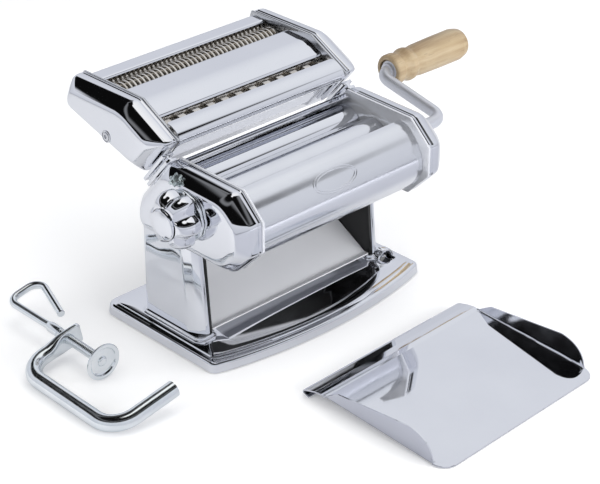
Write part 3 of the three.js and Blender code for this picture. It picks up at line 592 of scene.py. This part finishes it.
def beech():
    """Light beech turned along X: long grain, short dark flecks and a thin satin lacquer."""
    made, tree, principled = shader("beech")
    grain = noise(tree, 150, stretch=(0.09, 1, 1), detail=5, roughness=0.6)
    color = ramp(tree, grain, (0.28, (0.29, 0.205, 0.115)), (0.5, (0.41, 0.32, 0.20)),
                 (0.72, (0.50, 0.415, 0.29)))
    patches = noise(tree, 22, stretch=(0.5, 1, 1))
    warm = ramp(tree, patches, (0.35, (0.93, 0.86, 0.76)), (0.7, (1.0, 1.0, 1.0)))
    flecks = ramp(tree, noise(tree, 900, stretch=(0.12, 1, 1), detail=2), (0.27, 0.62), (0.36, 1.0))
    color = mixed(tree, 1.0, color, warm, "MULTIPLY")
    color = mixed(tree, 0.6, color, flecks, "MULTIPLY")
    gloss = ramp(tree, grain, (0.3, 0.52), (0.7, 0.36))
    fill(tree, principled, Base_Color=color, Roughness=gloss, Coat_Weight=0.18, Coat_Roughness=0.25)
    bumped(tree, principled, (grain, 0.12, 0.5), (flecks, 0.08, 0.5))
    return made


def plastic(name, light, dark, rough, cells, height):
    """A matt plastic or rubber with a fine grained surface."""
    made, tree, principled = shader(name)
    grains = noise(tree, cells, detail=5)
    color = ramp(tree, noise(tree, cells / 8, detail=3), (0.3, dark), (0.7, light))
    fill(tree, principled, Base_Color=color, Roughness=ramp(tree, grains, (0.3, rough[0]), (0.7, rough[1])))
    bumped(tree, principled, (grains, height, 0.6))
    return made


def make_materials():
    made = {name: metal(name, **look) for name, look in METALS.items()}
    # Paints shade into the end plates and the chute by height.
    for name, heights in PAINTED_SHADE_HEIGHTS.items():
        paint_height_shade(made[name], *heights)
    made["beech"] = beech()
    made["black_rubber"] = plastic("black_rubber", (0.035, 0.035, 0.038), (0.02, 0.02, 0.022),
                                   (0.65, 0.85), 1500, 0.1)
    made["white_nylon"] = plastic("white_nylon", (0.82, 0.81, 0.77), (0.76, 0.75, 0.70),
                                  (0.35, 0.5), 900, 0.03)
    return made


# ------------ base and stands
def base_outline(half, rear, front, bow, corner, steps=10, across=36):
    """A rounded rectangle in (x, y) whose front edge bows out by bow in the middle."""
    points = arc((half - corner, rear - corner), corner, 0, 90, steps)
    points += arc((corner - half, rear - corner), corner, 90, 180, steps)
    flatter = 0.9
    side_end = front - 1
    bow_start = side_end - flatter * corner * 2 * bow / half
    left = [(-half, front + corner), (-half, side_end), (corner - half, bow_start)]
    right = [(-x, y) for x, y in reversed(left)]
    points += fillet(left, corner * 0.85, steps)
    for k in range(1, across):
        x = (half - corner) * (2 * k / across - 1)
        points.append((x, front - bow + flatter * bow * (x / half) ** 2))
    points += fillet(right, corner * 0.85, steps)
    return points


def ring_at(outline, z):
    return [(x, y, z) for x, y in outline]


def pan_ring(inset, z):
    """The base's outline, moved inwards, at a height."""
    b = BASE
    outline = base_outline(b.half - inset, b.rear - inset, b.front + inset, b.bow, b.corner - inset / 3)
    return ring_at(outline, z)


def base_pan():
    """The pressed pan: wall, rounded edge, a fine step, and a shallow well between the stands."""
    b, e, w = BASE, PAN_EDGE, WELL
    roll = b.top - e.roll_at
    underside = [(b.top - b.sheet - w.depth, b.sheet + 0.6), (b.foot, b.sheet + 0.6)]
    profile = underside + [(b.foot, 0), (b.foot + 0.3, 0.1), (roll, e.draft)]
    for degrees in range(15, 91, 15):
        angle = radians(degrees)
        profile.append((roll + e.roll_height * sin(angle), e.draft + e.roll_width * (1 - cos(angle))))
    profile += [(b.top - depth, inset) for depth, inset in e.step]
    rings = [pan_ring(inset, z) for z, inset in profile]
    for inset, depth in ((0, 0), (0.5, 0.25), (1.3, w.depth - 0.2), (2.0, w.depth)):
        outline = base_outline(w.half - inset, w.rear - inset, w.front + inset, w.bow, w.corner)
        rings.append(ring_at(outline, b.top - depth))
    return skin(rings)


def plinth(sign):
    """A raised pad under a stand, with a rounded edge and a fine step round its top."""
    p = PLINTH
    left, right = sorted((sign * p.inner, sign * p.outer))
    corners = [(left, p.front), (right, p.front), (right, p.rear), (left, p.rear)]
    levels = [(p.bottom, 0)]
    levels += [(p.top - depth, inset)
               for depth, inset in ((2.6, 0), (2.2, 0.3), (2, 1), (0.5, 1.1), (0.1, 1.4), (0, 1.9))]
    return skin([ring_at(fillet(inset_outline(corners, inset), p.corner, 6, closed=True), z)
                 for z, inset in levels])


def make_base():
    s = SOCKET
    front, bore, outer, centre = s.front, s.bore, s.outer, (s.x, s.z)
    base = mesh_piece("base_pressing", base_pan(), "chrome", "frame", replaced="base_plate")
    tool = [(front - 5.8, bore - 3), (front - 4.4, bore), (s.rear, bore)]
    hole = turned(tool, "y", centre, 48)
    bored(base, [hole])
    mesh_piece("base_plinths", merged(plinth(-1), plinth(1)), "chrome", "frame")
    rim = [(front, bore + 0.5), (front - 0.5, bore + 1), (front - 0.4, outer - 0.5), (front + 0.3, outer),
           (s.stand, outer)]
    tube = mesh_piece("base_socket", turned(rim, "y", centre, 48), "chrome", "frame")
    bored(tube, [hole])


def make_stands():
    s = STAND
    middle = s.sheet / 2
    inner, outer = s.inner + 0.7, s.outer - middle
    front, rear = s.front + middle, s.rear - middle
    corners = [
        (inner, front + 3), (inner, front), (s.inner + 3, front), (outer - 3, front + 5.4),
        (outer, front + 12.4), (outer, rear), (inner, rear),
    ]
    outline = strip(fillet(corners, 5, 8), s.sheet)
    height = s.top - s.bottom
    levels = 12
    for side, sign in (("left", -1), ("right", 1)):
        rings = []
        for level in range(levels + 1):
            share = level / levels
            taper = 1 - s.lean * share
            rings.append([(sign * p.x, p.y * taper if p.y < 0 else p.y, s.bottom + height * share)
                          for p in outline])
        mesh_piece(f"stand_channel_{side}", skin(rings), "pressed_chrome", "frame",
                   replaced=f"stand_{side}")


# ------------ sheets and covers
def make_sheet(name, material, body):
    """A bent sheet along X with small rounded corners."""
    corners, thickness, radius = SHEETS[name]
    line = fillet(corners, radius, 12)
    stations = arc((SHEET_CORNER - SHEET_END, SHEET_CORNER), SHEET_CORNER, 180, 270, 3)
    stations += [(-x, cut) for x, cut in reversed(stations)]
    rings = []
    for x, cut in stations:
        outline = strip(even_points(line, cut, 72), thickness)
        rings.append([(x, p.x, p.y) for p in outline])
    piece = mesh_piece(f"{name}_sheet", skin(rings), material, body, sharp=50, replaced=name)
    soften(piece, 0.25)


def make_badge():
    """Two plain raised ovals pressed into the front panel."""
    corners, thickness, radius = SHEETS["front_panel"]
    line = even_points(fillet(corners, radius, 8), 0, 200)
    spans = len(line) - 1
    length = distances(line)[-1]
    for number, (half_x, half_height) in enumerate(BADGE.ovals):
        path = []
        oval = circle(96)
        for u, v in oval + oval[:1]:
            place = (BADGE.along * length + half_height * v) / length * spans
            i = int(place)
            point = line[i].lerp(line[i + 1], place % 1)
            slope = (line[i + 1] - line[i]).normalized()
            out = Vector((-slope.y, slope.x)) * (thickness / 2 - BADGE.sink)
            out = out if out.x < 0 else -out
            path.append((BADGE.x + half_x * u, point.x + out.x, point.y + out.y))
        ring = swept(path, BADGE.wire, 16)
        mesh_piece(f"front_panel_oval_{number + 1}", ring, "panel_chrome", "frame")


def cover_profile(inset):
    """The cover's section as (x, depth) points: its inner face, then the flange's bead and outside."""
    c = COVER
    rim, wall, bulge = c.rim, c.wall, Vector(c.bulge)
    shoulder, edge = Vector((c.shoulder, 0)), Vector((c.face, inset))
    slope = [shoulder, shoulder.lerp(edge, 0.35) + bulge, shoulder.lerp(edge, 0.7) + bulge, edge]
    outer = rounded([(rim + c.bead_end, 0), *slope, (c.face, inset + 4)], 8)
    inner = []
    for x, depth in outer:
        thinner = wall if depth > inset * 0.5 else wall * 0.6
        inner.append((x - thinner, depth + (wall if depth < inset * 0.9 else 0)))
    bead = [(rim + x, depth) for x, depth in c.bead]
    return inner[::-1] + [(rim, wall + 0.4)] + bead + [tuple(p) for p in outer]


def cover_shell(outline, inset, sign):
    """A drawn cover: beaded flange, rounded shoulder, slope and flat face, open on the inside."""
    rings = []
    for x, depth in cover_profile(inset):
        points = eased(inset_outline(outline, depth), COVER.round_off + 0.75 * depth, 9)
        rings.append([(sign * x, p.x, p.y) for p in points])
    return skin(rings)


def make_cover_pair(name, outline, inset, body, holes):
    """A left and a right cover; holes are (axis, radius) of those in the right one."""
    face = COVER.face
    for side, sign in (("left", -1), ("right", 1)):
        shell = cover_shell(outline, inset, sign)
        piece = mesh_piece(f"{name}_shell_{side}", shell, "chrome", body, sharp=60,
                           replaced=f"{name}_{side}")
    bored(piece, [turned([(face - 4, radius), (face + 4, radius)], "x", axis) for axis, radius in holes])
    soften(piece, 0.2)


def make_covers():
    make_cover_pair("side_cover", HEAD_OUTLINE, 7.5, "frame", [(CRANK_AXIS, 10.8)])
    crank_holes = [(cutter_axis(FINE, -1), 6), (cutter_axis(WIDE, 1), 6)]
    make_cover_pair("cutter_cover", CUTTER_OUTLINE, 8, "cutter_unit", crank_holes)


def make_head():
    make_sheet("front_panel", "panel_chrome", "frame")
    make_sheet("rear_panel", "chrome", "frame")
    make_sheet("chute_plate", "chute_steel", "frame")
    make_badge()
    small_screw("cover_screw_right", 1, HEAD_SCREW_AXIS, "frame")
    make_guard()
    star_screw()


def make_guard():
    """The curved sheet behind the rear roller."""
    line = [Vector(p) for p in arc(REAR_AXIS, GUARD.radius, GUARD.first, GUARD.last, 44)]
    rings = [[(x, p.x, p.y) for p in strip(line, GUARD.sheet)] for x in (-SHEET_END, SHEET_END)]
    guard = mesh_piece("rear_guard_sheet", skin(rings), "chrome", "frame", replaced="rear_guard")
    soften(guard, 0.2)


def small_screw(node, sign, axis, body):
    """A low round head with a hexagonal socket, on a cover's face."""
    face = COVER.face
    head = turned([(sign * (face + out), radius) for out, radius in SCREW_HEAD], "x", axis, 36)
    screw = mesh_piece(f"{node}_head", head, "bright_steel", body, replaced=node)
    ends = [(sign * (face + out), SCREW_SOCKET.radius) for out in SCREW_SOCKET.ends]
    bored(screw, [turned(ends, "x", axis, 6)])


def star_screw():
    """A small bolt with a star-shaped head, square to the sloping shoulder."""
    s = STAR_SCREW
    up = Vector(s.lean).to_track_quat("Z", "Y").to_matrix().to_4x4()
    place = Matrix.Translation(Vector(s.place)) @ up
    rings = []
    for z, scale in s.levels:
        corners = []
        for k, (u, v) in enumerate(circle(2 * s.points)):
            radius = s.radius * scale * (1 if k % 2 == 0 else s.valley)
            corners.append((radius * u, radius * v))
        rings.append(ring_at(fillet(corners, s.corner, 4, closed=True), z))
    shape = merged(skin(rings), turned(s.washer, "z", steps=32), turned(s.button, "z", steps=24))
    mesh_piece("star_screw", shape, "dull_zinc_plate", "frame", replaced="cover_screw_left", place=place)


# ------------ rollers
def make_rollers():
    r, t = ROLLER, FRONT_TUBE
    end, radius, chamfer, neck = r.end, r.radius, r.chamfer, r.neck
    rear = [(-neck, r.journal - 0.4), (-neck + 0.4, r.journal), (-end, r.journal),
            (-end, radius - chamfer), (-end + chamfer, radius)]
    rear += [(-x, each) for x, each in reversed(rear)]
    mesh_piece("rear_roller_body", turned(rear, "x", REAR_AXIS, 96), "roller_chrome", "rear_roller",
               replaced="rear_roller")
    front = [(-end, t.sleeve), (-end, radius - chamfer), (-end + chamfer, radius), (end - chamfer, radius),
             (end, radius - chamfer), (end, t.bore), (t.wall, t.bore), (t.wall, t.sleeve_bore),
             (-neck, t.sleeve_bore), (-neck, t.sleeve)]
    mesh_piece("front_roller_body", turned(front, "x", FRONT_AXIS, 96, hollow=True), "roller_chrome",
               "front_roller", replaced="front_roller")


def cutter_axis(pair, side):
    """The axis of a pair's rear cutter, side 1, or of its front one, side -1."""
    return pair.y + side * pair.spacing / 2, pair.z


def cutter_profile(pair, side):
    """A shaft with discs that reach in between the discs of the other roller."""
    c = CUTTER
    end, shaft, chamfer, radius, pitch = c.end, c.shaft, c.chamfer, pair.radius, pair.pitch
    low = pair.spacing - radius - c.tip_gap
    discs = int(2 * end / pitch)
    round_off = min(0.25, pitch / 10)
    profile = [(-c.left, shaft - chamfer), (-c.left + chamfer, shaft), (-end, shaft), (-end, low)]
    for i in range(1 if side > 0 else 0, discs, 2):
        left = (i - discs / 2) * pitch + c.side_gap
        right = left + pitch - 2 * c.side_gap
        profile += [(left, low), (left, radius - round_off), (left + round_off, radius),
                    (right - round_off, radius), (right, radius - round_off), (right, low)]
    right_end = [(end, low), (end, shaft), (c.right - chamfer, shaft), (c.right, shaft - chamfer)]
    return profile + right_end


def cutter_gear(pair, side):
    """The gear on a cutter's right end; the rear one has a tooth where the front one has a gap."""
    c = CUTTER
    y, z = cutter_axis(pair, side)
    tip, root = pair.gear_tip, pair.gear_root
    tooth = ((root, -c.root_width), (tip, -c.tip_width), (tip, c.tip_width), (root, c.root_width))
    phase = pi if side > 0 else pi / c.teeth
    outline = []
    for i in range(c.teeth):
        for radius, width in tooth:
            angle = phase + 2 * pi * i / c.teeth + width / 2 / radius
            outline.append((y + radius * cos(angle), z + radius * sin(angle)))
    return skin([[(x, *point) for point in outline] for x in c.gear_ends])


def make_cutters():
    for name, pair in (("fine", FINE), ("wide", WIDE)):
        for side, place in ((1, "rear"), (-1, "front")):
            discs = turned(cutter_profile(pair, side), "x", cutter_axis(pair, side), 64)
            mesh_piece(f"{name}_discs_{place}", merged(discs, cutter_gear(pair, side)), "cutter_steel",
                       f"{name}_{place}", sharp=30, replaced=f"{name}_cutter_{place}")
    for name in ("cutter_bridge", "cutter_rear_cover", "cutter_front_guard"):
        make_sheet(name, "chrome", "cutter_unit")
    small_screw("cutter_screw_left", -1, CUTTER_SCREW_AXIS, "cutter_unit")
    small_screw("cutter_screw_right", 1, CUTTER_SCREW_AXIS, "cutter_unit")


# ------------ knob, crank and grip
def knob_profile(rim):
    """(x, radius) points of the knob: its back, a dome down to the rim, a groove and the button."""
    k = KNOB
    base, cap, radius = k.base, k.cap, k.radius
    foot, shoulder = base + k.foot, cap - k.groove
    profile = fillet([(base, k.back), (base, radius - 0.4), (foot, radius)], 1.5, 5)
    steps = 24
    for step in range(1, steps + 1):
        angle = pi / 2 * step / steps
        profile.append((foot + (shoulder - foot) * sin(angle), rim + (radius - rim) * cos(angle)))
    button = k.cap_radius + 0.5
    bottom = shoulder - k.groove
    return profile + fillet([
        (shoulder, rim - 0.1), (bottom, rim - 0.4), (bottom, button), (cap - 0.6, button),
        (cap + 0.3, button - 0.9), (cap + 1.2, button - 4), (cap + 1.6, button - 8),
    ], 1.2, 5)


def knob_shape():
    """The turned profile, pulled in between the lobes; the hollows fade out towards the rim."""
    y, z = GAP_AXIS
    rim = KNOB.cap_radius + 1.3
    fade, steps = 4, 180
    rings = []
    for x, radius in knob_profile(rim):
        deep = KNOB.hollow * max(0.0, min(1.0, (radius - rim) / fade))
        ring = []
        for step in range(steps):
            angle = 2 * pi * step / steps
            hollow = ((1 - cos(KNOB.lobes * angle)) / 2) ** 1.6
            reach = radius - deep * hollow
            ring.append((-x, y + reach * cos(angle), z + reach * sin(angle)))
        rings.append(ring)
    return skin(rings)


def spring_line():
    """The coil of the knob's spring."""
    s = KNOB_SPRING
    y, z = GAP_AXIS
    per_turn = 24
    count = s.turns * per_turn
    line = []
    for step in range(count + 1):
        angle = 2 * pi * step / per_turn
        x = s.start + (s.end - s.start) * step / count
        line.append((-x, y + s.radius * cos(angle), z + s.radius * sin(angle)))
    return line


def make_knob():
    k = KNOB
    back, inside = -k.base, -k.base - k.back_wall
    knob = mesh_piece("gap_knob_cap", knob_shape(), "chrome", "gap_knob", sharp=60, replaced="gap_knob")
    shaft_hole = turned([(inside - 1, k.bore), (back + 1, k.bore)], "x", GAP_AXIS)
    chamber = turned([(-k.chamber_end, k.chamber), (inside, k.chamber)], "x", GAP_AXIS)
    bored(knob, [shaft_hole, chamber])
    smooth(knob.data, 60)
    coil = swept(spring_line(), KNOB_SPRING.wire, 12)
    mesh_piece("knob_spring_coil", coil, "bright_steel", "gap_shaft", replaced="knob_spring")


def arm_end():
    """The axis of the crank's grip."""
    return CRANK_AXIS[0] + CRANK.arm_y, CRANK_AXIS[1] + CRANK.arm_z


def make_crank():
    c = CRANK
    end = arm_end()
    corners = [(c.insert, *CRANK_AXIS), (c.arm_x, *CRANK_AXIS), (c.arm_end_x, *end), (c.tip, *end)]
    parts = [swept(fillet(corners, c.bend, 14), c.rod, 40)]
    for profile in (CRANK_WASHER, CRANK_BOSS):
        parts.append(turned([(GRIP.start + x, radius) for x, radius in profile], "x", end))
    mesh_piece("crank_bent_rod", merged(*parts), "crank_plating", "crank", replaced="crank_rod")


def make_grip():
    """The turned grip, with a bore for the rod and a wider mouth for its washer."""
    g = GRIP
    x, tail = g.start, g.start + g.length
    outside = fillet([
        (x, g.mouth), (x, 11), (x + 1.4, 12.2), (x + 7.5, 12.2), (x + 10, 10.5), (x + 13, 11),
        (x + 17, 12.9), (x + 20, 12.8), (x + 23.5, 11.3), (x + 30, 12.2), (x + 50, 12.6),
        (tail - 9, 12.7), (tail - 2, 11), (tail, 6.5), (tail, 0.4),
    ], 4, 6)
    inside = [(tail - 3.5, 0.4), (tail - 3.5, g.bore), (x + 3, g.bore), (x + 3, g.mouth)]
    shape = turned([tuple(p) for p in outside] + inside, "x", arm_end(), 96, hollow=True)
    mesh_piece("crank_grip_turned", shape, "beech", "grip", replaced="crank_grip")


# ------------ clamp
def clamp_place():
    return placed(CLAMP.place, CLAMP.yaw, -CLAMP.roll, "Y")


def screw_place():
    c = CLAMP
    tilt = Matrix.Rotation(radians(c.screw_tilt), 4, "X")
    there = Matrix.Translation((c.screw_x, c.back, c.screw_lift))
    return clamp_place() @ there @ tilt @ Matrix.Translation((0, -c.back, 0))


def clamp_bar(flat):
    """The bent round bar, up to where its end is forged flat."""
    c = CLAMP
    path = fillet([(c.leg, 0, 0), (0, 0, 0), (0, c.back, 0), (c.screw_x, c.back, 0)], c.bend, 16)
    path[-1] = Vector((flat, c.back, 0))
    path[1:1] = [(c.leg - 0.01, 0, 0), (c.leg - c.chamfer, 0, 0)]
    return swept(path, c.rod, 40, first=c.rod - c.chamfer)


def squared(value, power):
    """Moves a sine or cosine towards 1 or -1, which makes an ellipse squarer as power grows from 2."""
    return copysign(abs(value) ** (2 / power), value)


def clamp_lug(flat):
    """The bar's flat end, from round to a blunt plate: (x, half thickness, half height, squareness)."""
    c = CLAMP
    rod, lug, high, end = c.rod, c.lug, c.lug_height, c.screw_x + c.lug_reach
    stations = [
        (flat - 2, rod, rod, 2), (flat, rod, rod, 2), (flat + 4, 5.2, 6.2, 2.3), (flat + 8, 3.6, 7, 3),
        (flat + 12, 2.4, high, 5), (flat + 16, lug, high, 7), (c.screw_x + 4, lug, high, 7),
        (end - 3, lug, 7.2, 9), (end - 0.6, lug, 6.9, 9), (end, lug - 0.6, 6.4, 7),
    ]
    rings = []
    for x, half_thick, half_high, power in stations:
        lift = c.screw_lift / 2 * min(max((x - flat) / 10, 0), 1)
        rings.append([(x, c.back + squared(u, power) * half_thick, lift + squared(v, power) * half_high)
                      for u, v in circle(48)])
    return skin(rings)


def screw_thread(start, end, sides=36, per_turn=8):
    """A threaded rod along Y."""
    radius, pitch, depth = CLAMP.screw, CLAMP.thread_pitch, CLAMP.thread_depth
    count = int((end - start) / pitch * per_turn)
    rings = []
    for step in range(count + 1):
        y = start + (end - start) * step / count
        ring = []
        for k, (u, v) in enumerate(circle(sides)):
            turn = (y / pitch - k / sides) % 1
            groove = depth * (1 - abs(2 * turn - 1)) * 1.6
            reach = radius - min(groove, depth)
            ring.append((reach * u, y, reach * v))
        rings.append(ring)
    return skin(rings)


def wire_loop():
    """The clamp screw's handle: a wire bent into an open triangle."""
    c = CLAMP
    top, wire = c.thread_end, c.wire
    loop = fillet([
        (0, top - 4, 0), (-1.5, top + c.loop_length - 1, 0),
        (c.loop_width, top + c.loop_length, 0), (13, top + 3, 0),
    ], 8, 12)
    loop.insert(-1, loop[-2].lerp(loop[-1], 0.985))
    return swept(loop, wire, 24, last=wire - 0.4)


def make_clamp():
    c = CLAMP
    flat = c.screw_x - 17
    mesh_piece("clamp_bar", merged(clamp_bar(flat), clamp_lug(flat)), "zinc_plate", "clamp", sharp=50,
               replaced="clamp_frame", place=clamp_place())
    top, neck = c.thread_end, c.screw + 0.1
    ferrule = [(top - 12, neck - 0.3), (top - 11.6, neck), (top - 2, neck), (top + 0.5, c.wire + 0.2)]
    thread = screw_thread(c.pad_at + 2.8, top - 11.5)
    mesh_piece("clamp_screw_wire", merged(thread, turned(ferrule, "y", steps=32), wire_loop()),
               "zinc_plate", "clamp_screw", sharp=30, replaced="clamp_screw", place=screw_place())
    pad = [(c.pad_at + y, radius) for radius, y in fillet(CLAMP_PAD, 0.8, 3)]
    mesh_piece("clamp_pad_disc", turned(pad, "y"), "zinc_plate", "clamp_pad", sharp=45,
               replaced="clamp_pad", place=screw_place())


# ------------ tray
def flange_height(y):
    """Height of the tray's side, which rises steeply at the front and slopes down to the rear."""
    t = TRAY
    start, crest, low = t.flange_from, t.flange, t.flange_rear
    top, rear, bend = start + t.rise, t.length - t.tail, start + t.steep
    if y < top:
        a, b, c = start - 2 * bend + top, 2 * (bend - top), top - y
        share = (-b - sqrt(b * b - 4 * a * c)) / (2 * a)
        return crest * (1 - share) ** 2 + 2 * (crest - 1) * share * (1 - share)
    if y < rear:
        return crest + (low - crest) * (y - top) / (rear - top)
    return low * (t.length - y) / t.tail


def tray_bed():
    """The flat bed, with rounded front corners and slightly narrower between the flanges."""
    t = TRAY
    half, thick = t.width / 2, t.sheet
    inner, side_from = half - t.fold, t.flange_from + 1.5
    front = fillet([(-half, 40), (-half, 0), (half, 0), (half, 40)], t.corner, 12)
    outline = [(-inner, t.length), (-inner, side_from)] + [tuple(p) for p in front if p.y < side_from]
    outline += [(inner, side_from), (inner, t.length)]
    rings = []
    for z, inset in ((0.0, 0.15), (0.15, 0), (thick - 0.15, 0), (thick, 0.15)):
        rings.append([(x * (1 - inset / half), y + (inset if y < 1 else 0), z) for x, y in outline])
    return skin(rings)


def tray_flange(sign):
    """One folded-up side."""
    t = TRAY
    half, middle, fold = t.width / 2, t.sheet / 2, t.fold
    start, end, steps = t.flange_from + 0.2, t.length - 0.6, 48
    rings = []
    for k in range(steps + 1):
        y = start + (end - start) * k / steps
        height = max(flange_height(y), 1.2)
        corners = [(half - fold - 0.8, middle), (half - middle, middle), (half - middle, height)]
        line = even_points(fillet(corners, min(fold, height - 0.3), 8), 0, 20)
        rings.append([(sign * p.x, y, p.y) for p in strip(line, t.sheet)])
    return skin(rings)


def tray_lip():
    """The rear lip, bent down and under."""
    t = TRAY
    line = fillet([(t.length + out, z) for out, z in TRAY_LIP], 2.2, 6)
    ends = (-t.width / 2, t.width / 2)
    return skin([[(x, p.x, p.y) for p in strip(line, t.sheet)] for x in ends])


def make_tray():
    shape = merged(tray_bed(), tray_flange(-1), tray_flange(1), tray_lip())
    place = placed(TRAY.place, TRAY.yaw, TRAY.tilt, "X")
    piece = mesh_piece("tray_sheet", shape, "chrome", "tray", sharp=40, replaced="tray", place=place)
    soften(piece, 0.12)


# ------------ floor, light and camera
def floor():
    """White paper; in the metal's reflections it is paler at the back and grey in front."""
    made, tree, principled = shader("floor_paper")
    grain = noise(tree, 3, detail=2)
    paper = ramp(tree, grain, (0.3, (0.965, 0.962, 0.955)), (0.7, (0.975, 0.972, 0.965)))
    pale = ramp(tree, grain, (0.3, (0.80, 0.805, 0.82)), (0.7, (0.83, 0.835, 0.85)))
    grey = ramp(tree, grain, (0.3, (0.50, 0.51, 0.56)), (0.7, (0.54, 0.55, 0.60)))
    back = step_between(tree, axes(tree, "Object")["Y"], *FLOOR.grey_edge)
    ray = add_node(tree, "LightPath").outputs
    tone = mixed(tree, ray["Is Glossy Ray"], paper, mixed(tree, back, grey, pale))
    glow = times(tree, ray["Is Camera Ray"], FLOOR.glow)
    fill(tree, principled, Base_Color=tone, Roughness=0.75)
    fill(tree, principled, Emission_Color=(1, 1, 1, 1), Emission_Strength=glow)
    half, z = FLOOR.half / MM, FLOOR.z / MM
    corners = [(-half, -half, z), (half, -half, z), (half, half, z), (-half, half, z)]
    plane = new_object("floor", corners, [(0, 1, 2, 3)])
    plane.data.materials.append(made)


def studio():
    """A bright tent with one black side, which gives chrome its black bands."""
    f = FLAG
    world = bpy.data.worlds.new("studio")
    bpy.context.scene.world = world
    world.use_nodes = True
    tree = world.node_tree
    x, y, z = axes(tree, "Generated")
    angle = radians(f.toward)
    level = math_node(tree, "SQRT", math_node(tree, "ADD", times(tree, x, x), times(tree, y, y)))
    facing = math_node(tree, "ADD", times(tree, x, cos(angle)), times(tree, y, sin(angle)))
    sideways = step_between(tree, math_node(tree, "DIVIDE", facing, level), *f.side)
    dark = times(tree, sideways, band(tree, z, f.low, f.high))
    sheen = times(tree, band(tree, z, f.sheen_low, f.sheen_high), f.sheen)
    dark = times(tree, dark, remainder(tree, sheen))
    black = (f.black, f.black, f.black * 1.05, 1)
    fill(tree, tree.nodes["Background"], Color=mixed(tree, dark, ramp(tree, z, *TENT), black))


def add_aimed(name, data, place, aim):
    """Adds a light or a camera that points at a place."""
    made = bpy.data.objects.new(name, data)
    made.location = place
    made.rotation_euler = (Vector(aim) - Vector(place)).to_track_quat("-Z", "Y").to_euler()
    bpy.context.scene.collection.objects.link(made)
    return made


def soft_light(name, place, aim, size, power):
    """An area light that polished metal doesn't show."""
    lamp = bpy.data.lights.new(name, "AREA")
    lamp.shape = "RECTANGLE"
    lamp.size, lamp.size_y = size
    lamp.energy = power
    made = add_aimed(name, lamp, place, aim)
    made.visible_glossy = False


def make_camera():
    lens = bpy.data.cameras.new("camera")
    lens.lens = CAMERA.lens
    lens.sensor_width = CAMERA.sensor
    bpy.context.scene.camera = add_aimed("camera", lens, CAMERA.place, CAMERA.aim)


def make_stage():
    floor()
    studio()
    for light in LIGHTS:
        soft_light(*light)
    view = bpy.context.scene.view_settings
    view.view_transform = "Standard"
    view.look = "None"


# ------------ scene
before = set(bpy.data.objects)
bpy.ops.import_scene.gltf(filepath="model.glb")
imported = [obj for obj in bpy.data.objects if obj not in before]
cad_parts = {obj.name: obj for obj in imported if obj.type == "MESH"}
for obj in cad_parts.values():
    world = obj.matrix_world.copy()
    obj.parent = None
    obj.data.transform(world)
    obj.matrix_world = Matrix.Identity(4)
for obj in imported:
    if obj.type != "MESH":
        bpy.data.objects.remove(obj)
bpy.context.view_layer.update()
materials = make_materials()
for material_name, rounding, cad_names in KEPT_PARTS:
    for cad_name in cad_names:
        dress(cad_name, material_name, rounding)
for make in (make_base, make_stands, make_covers, make_head, make_rollers, make_cutters, make_knob,
             make_crank, make_grip, make_clamp, make_tray, make_stage, make_camera):
    make()
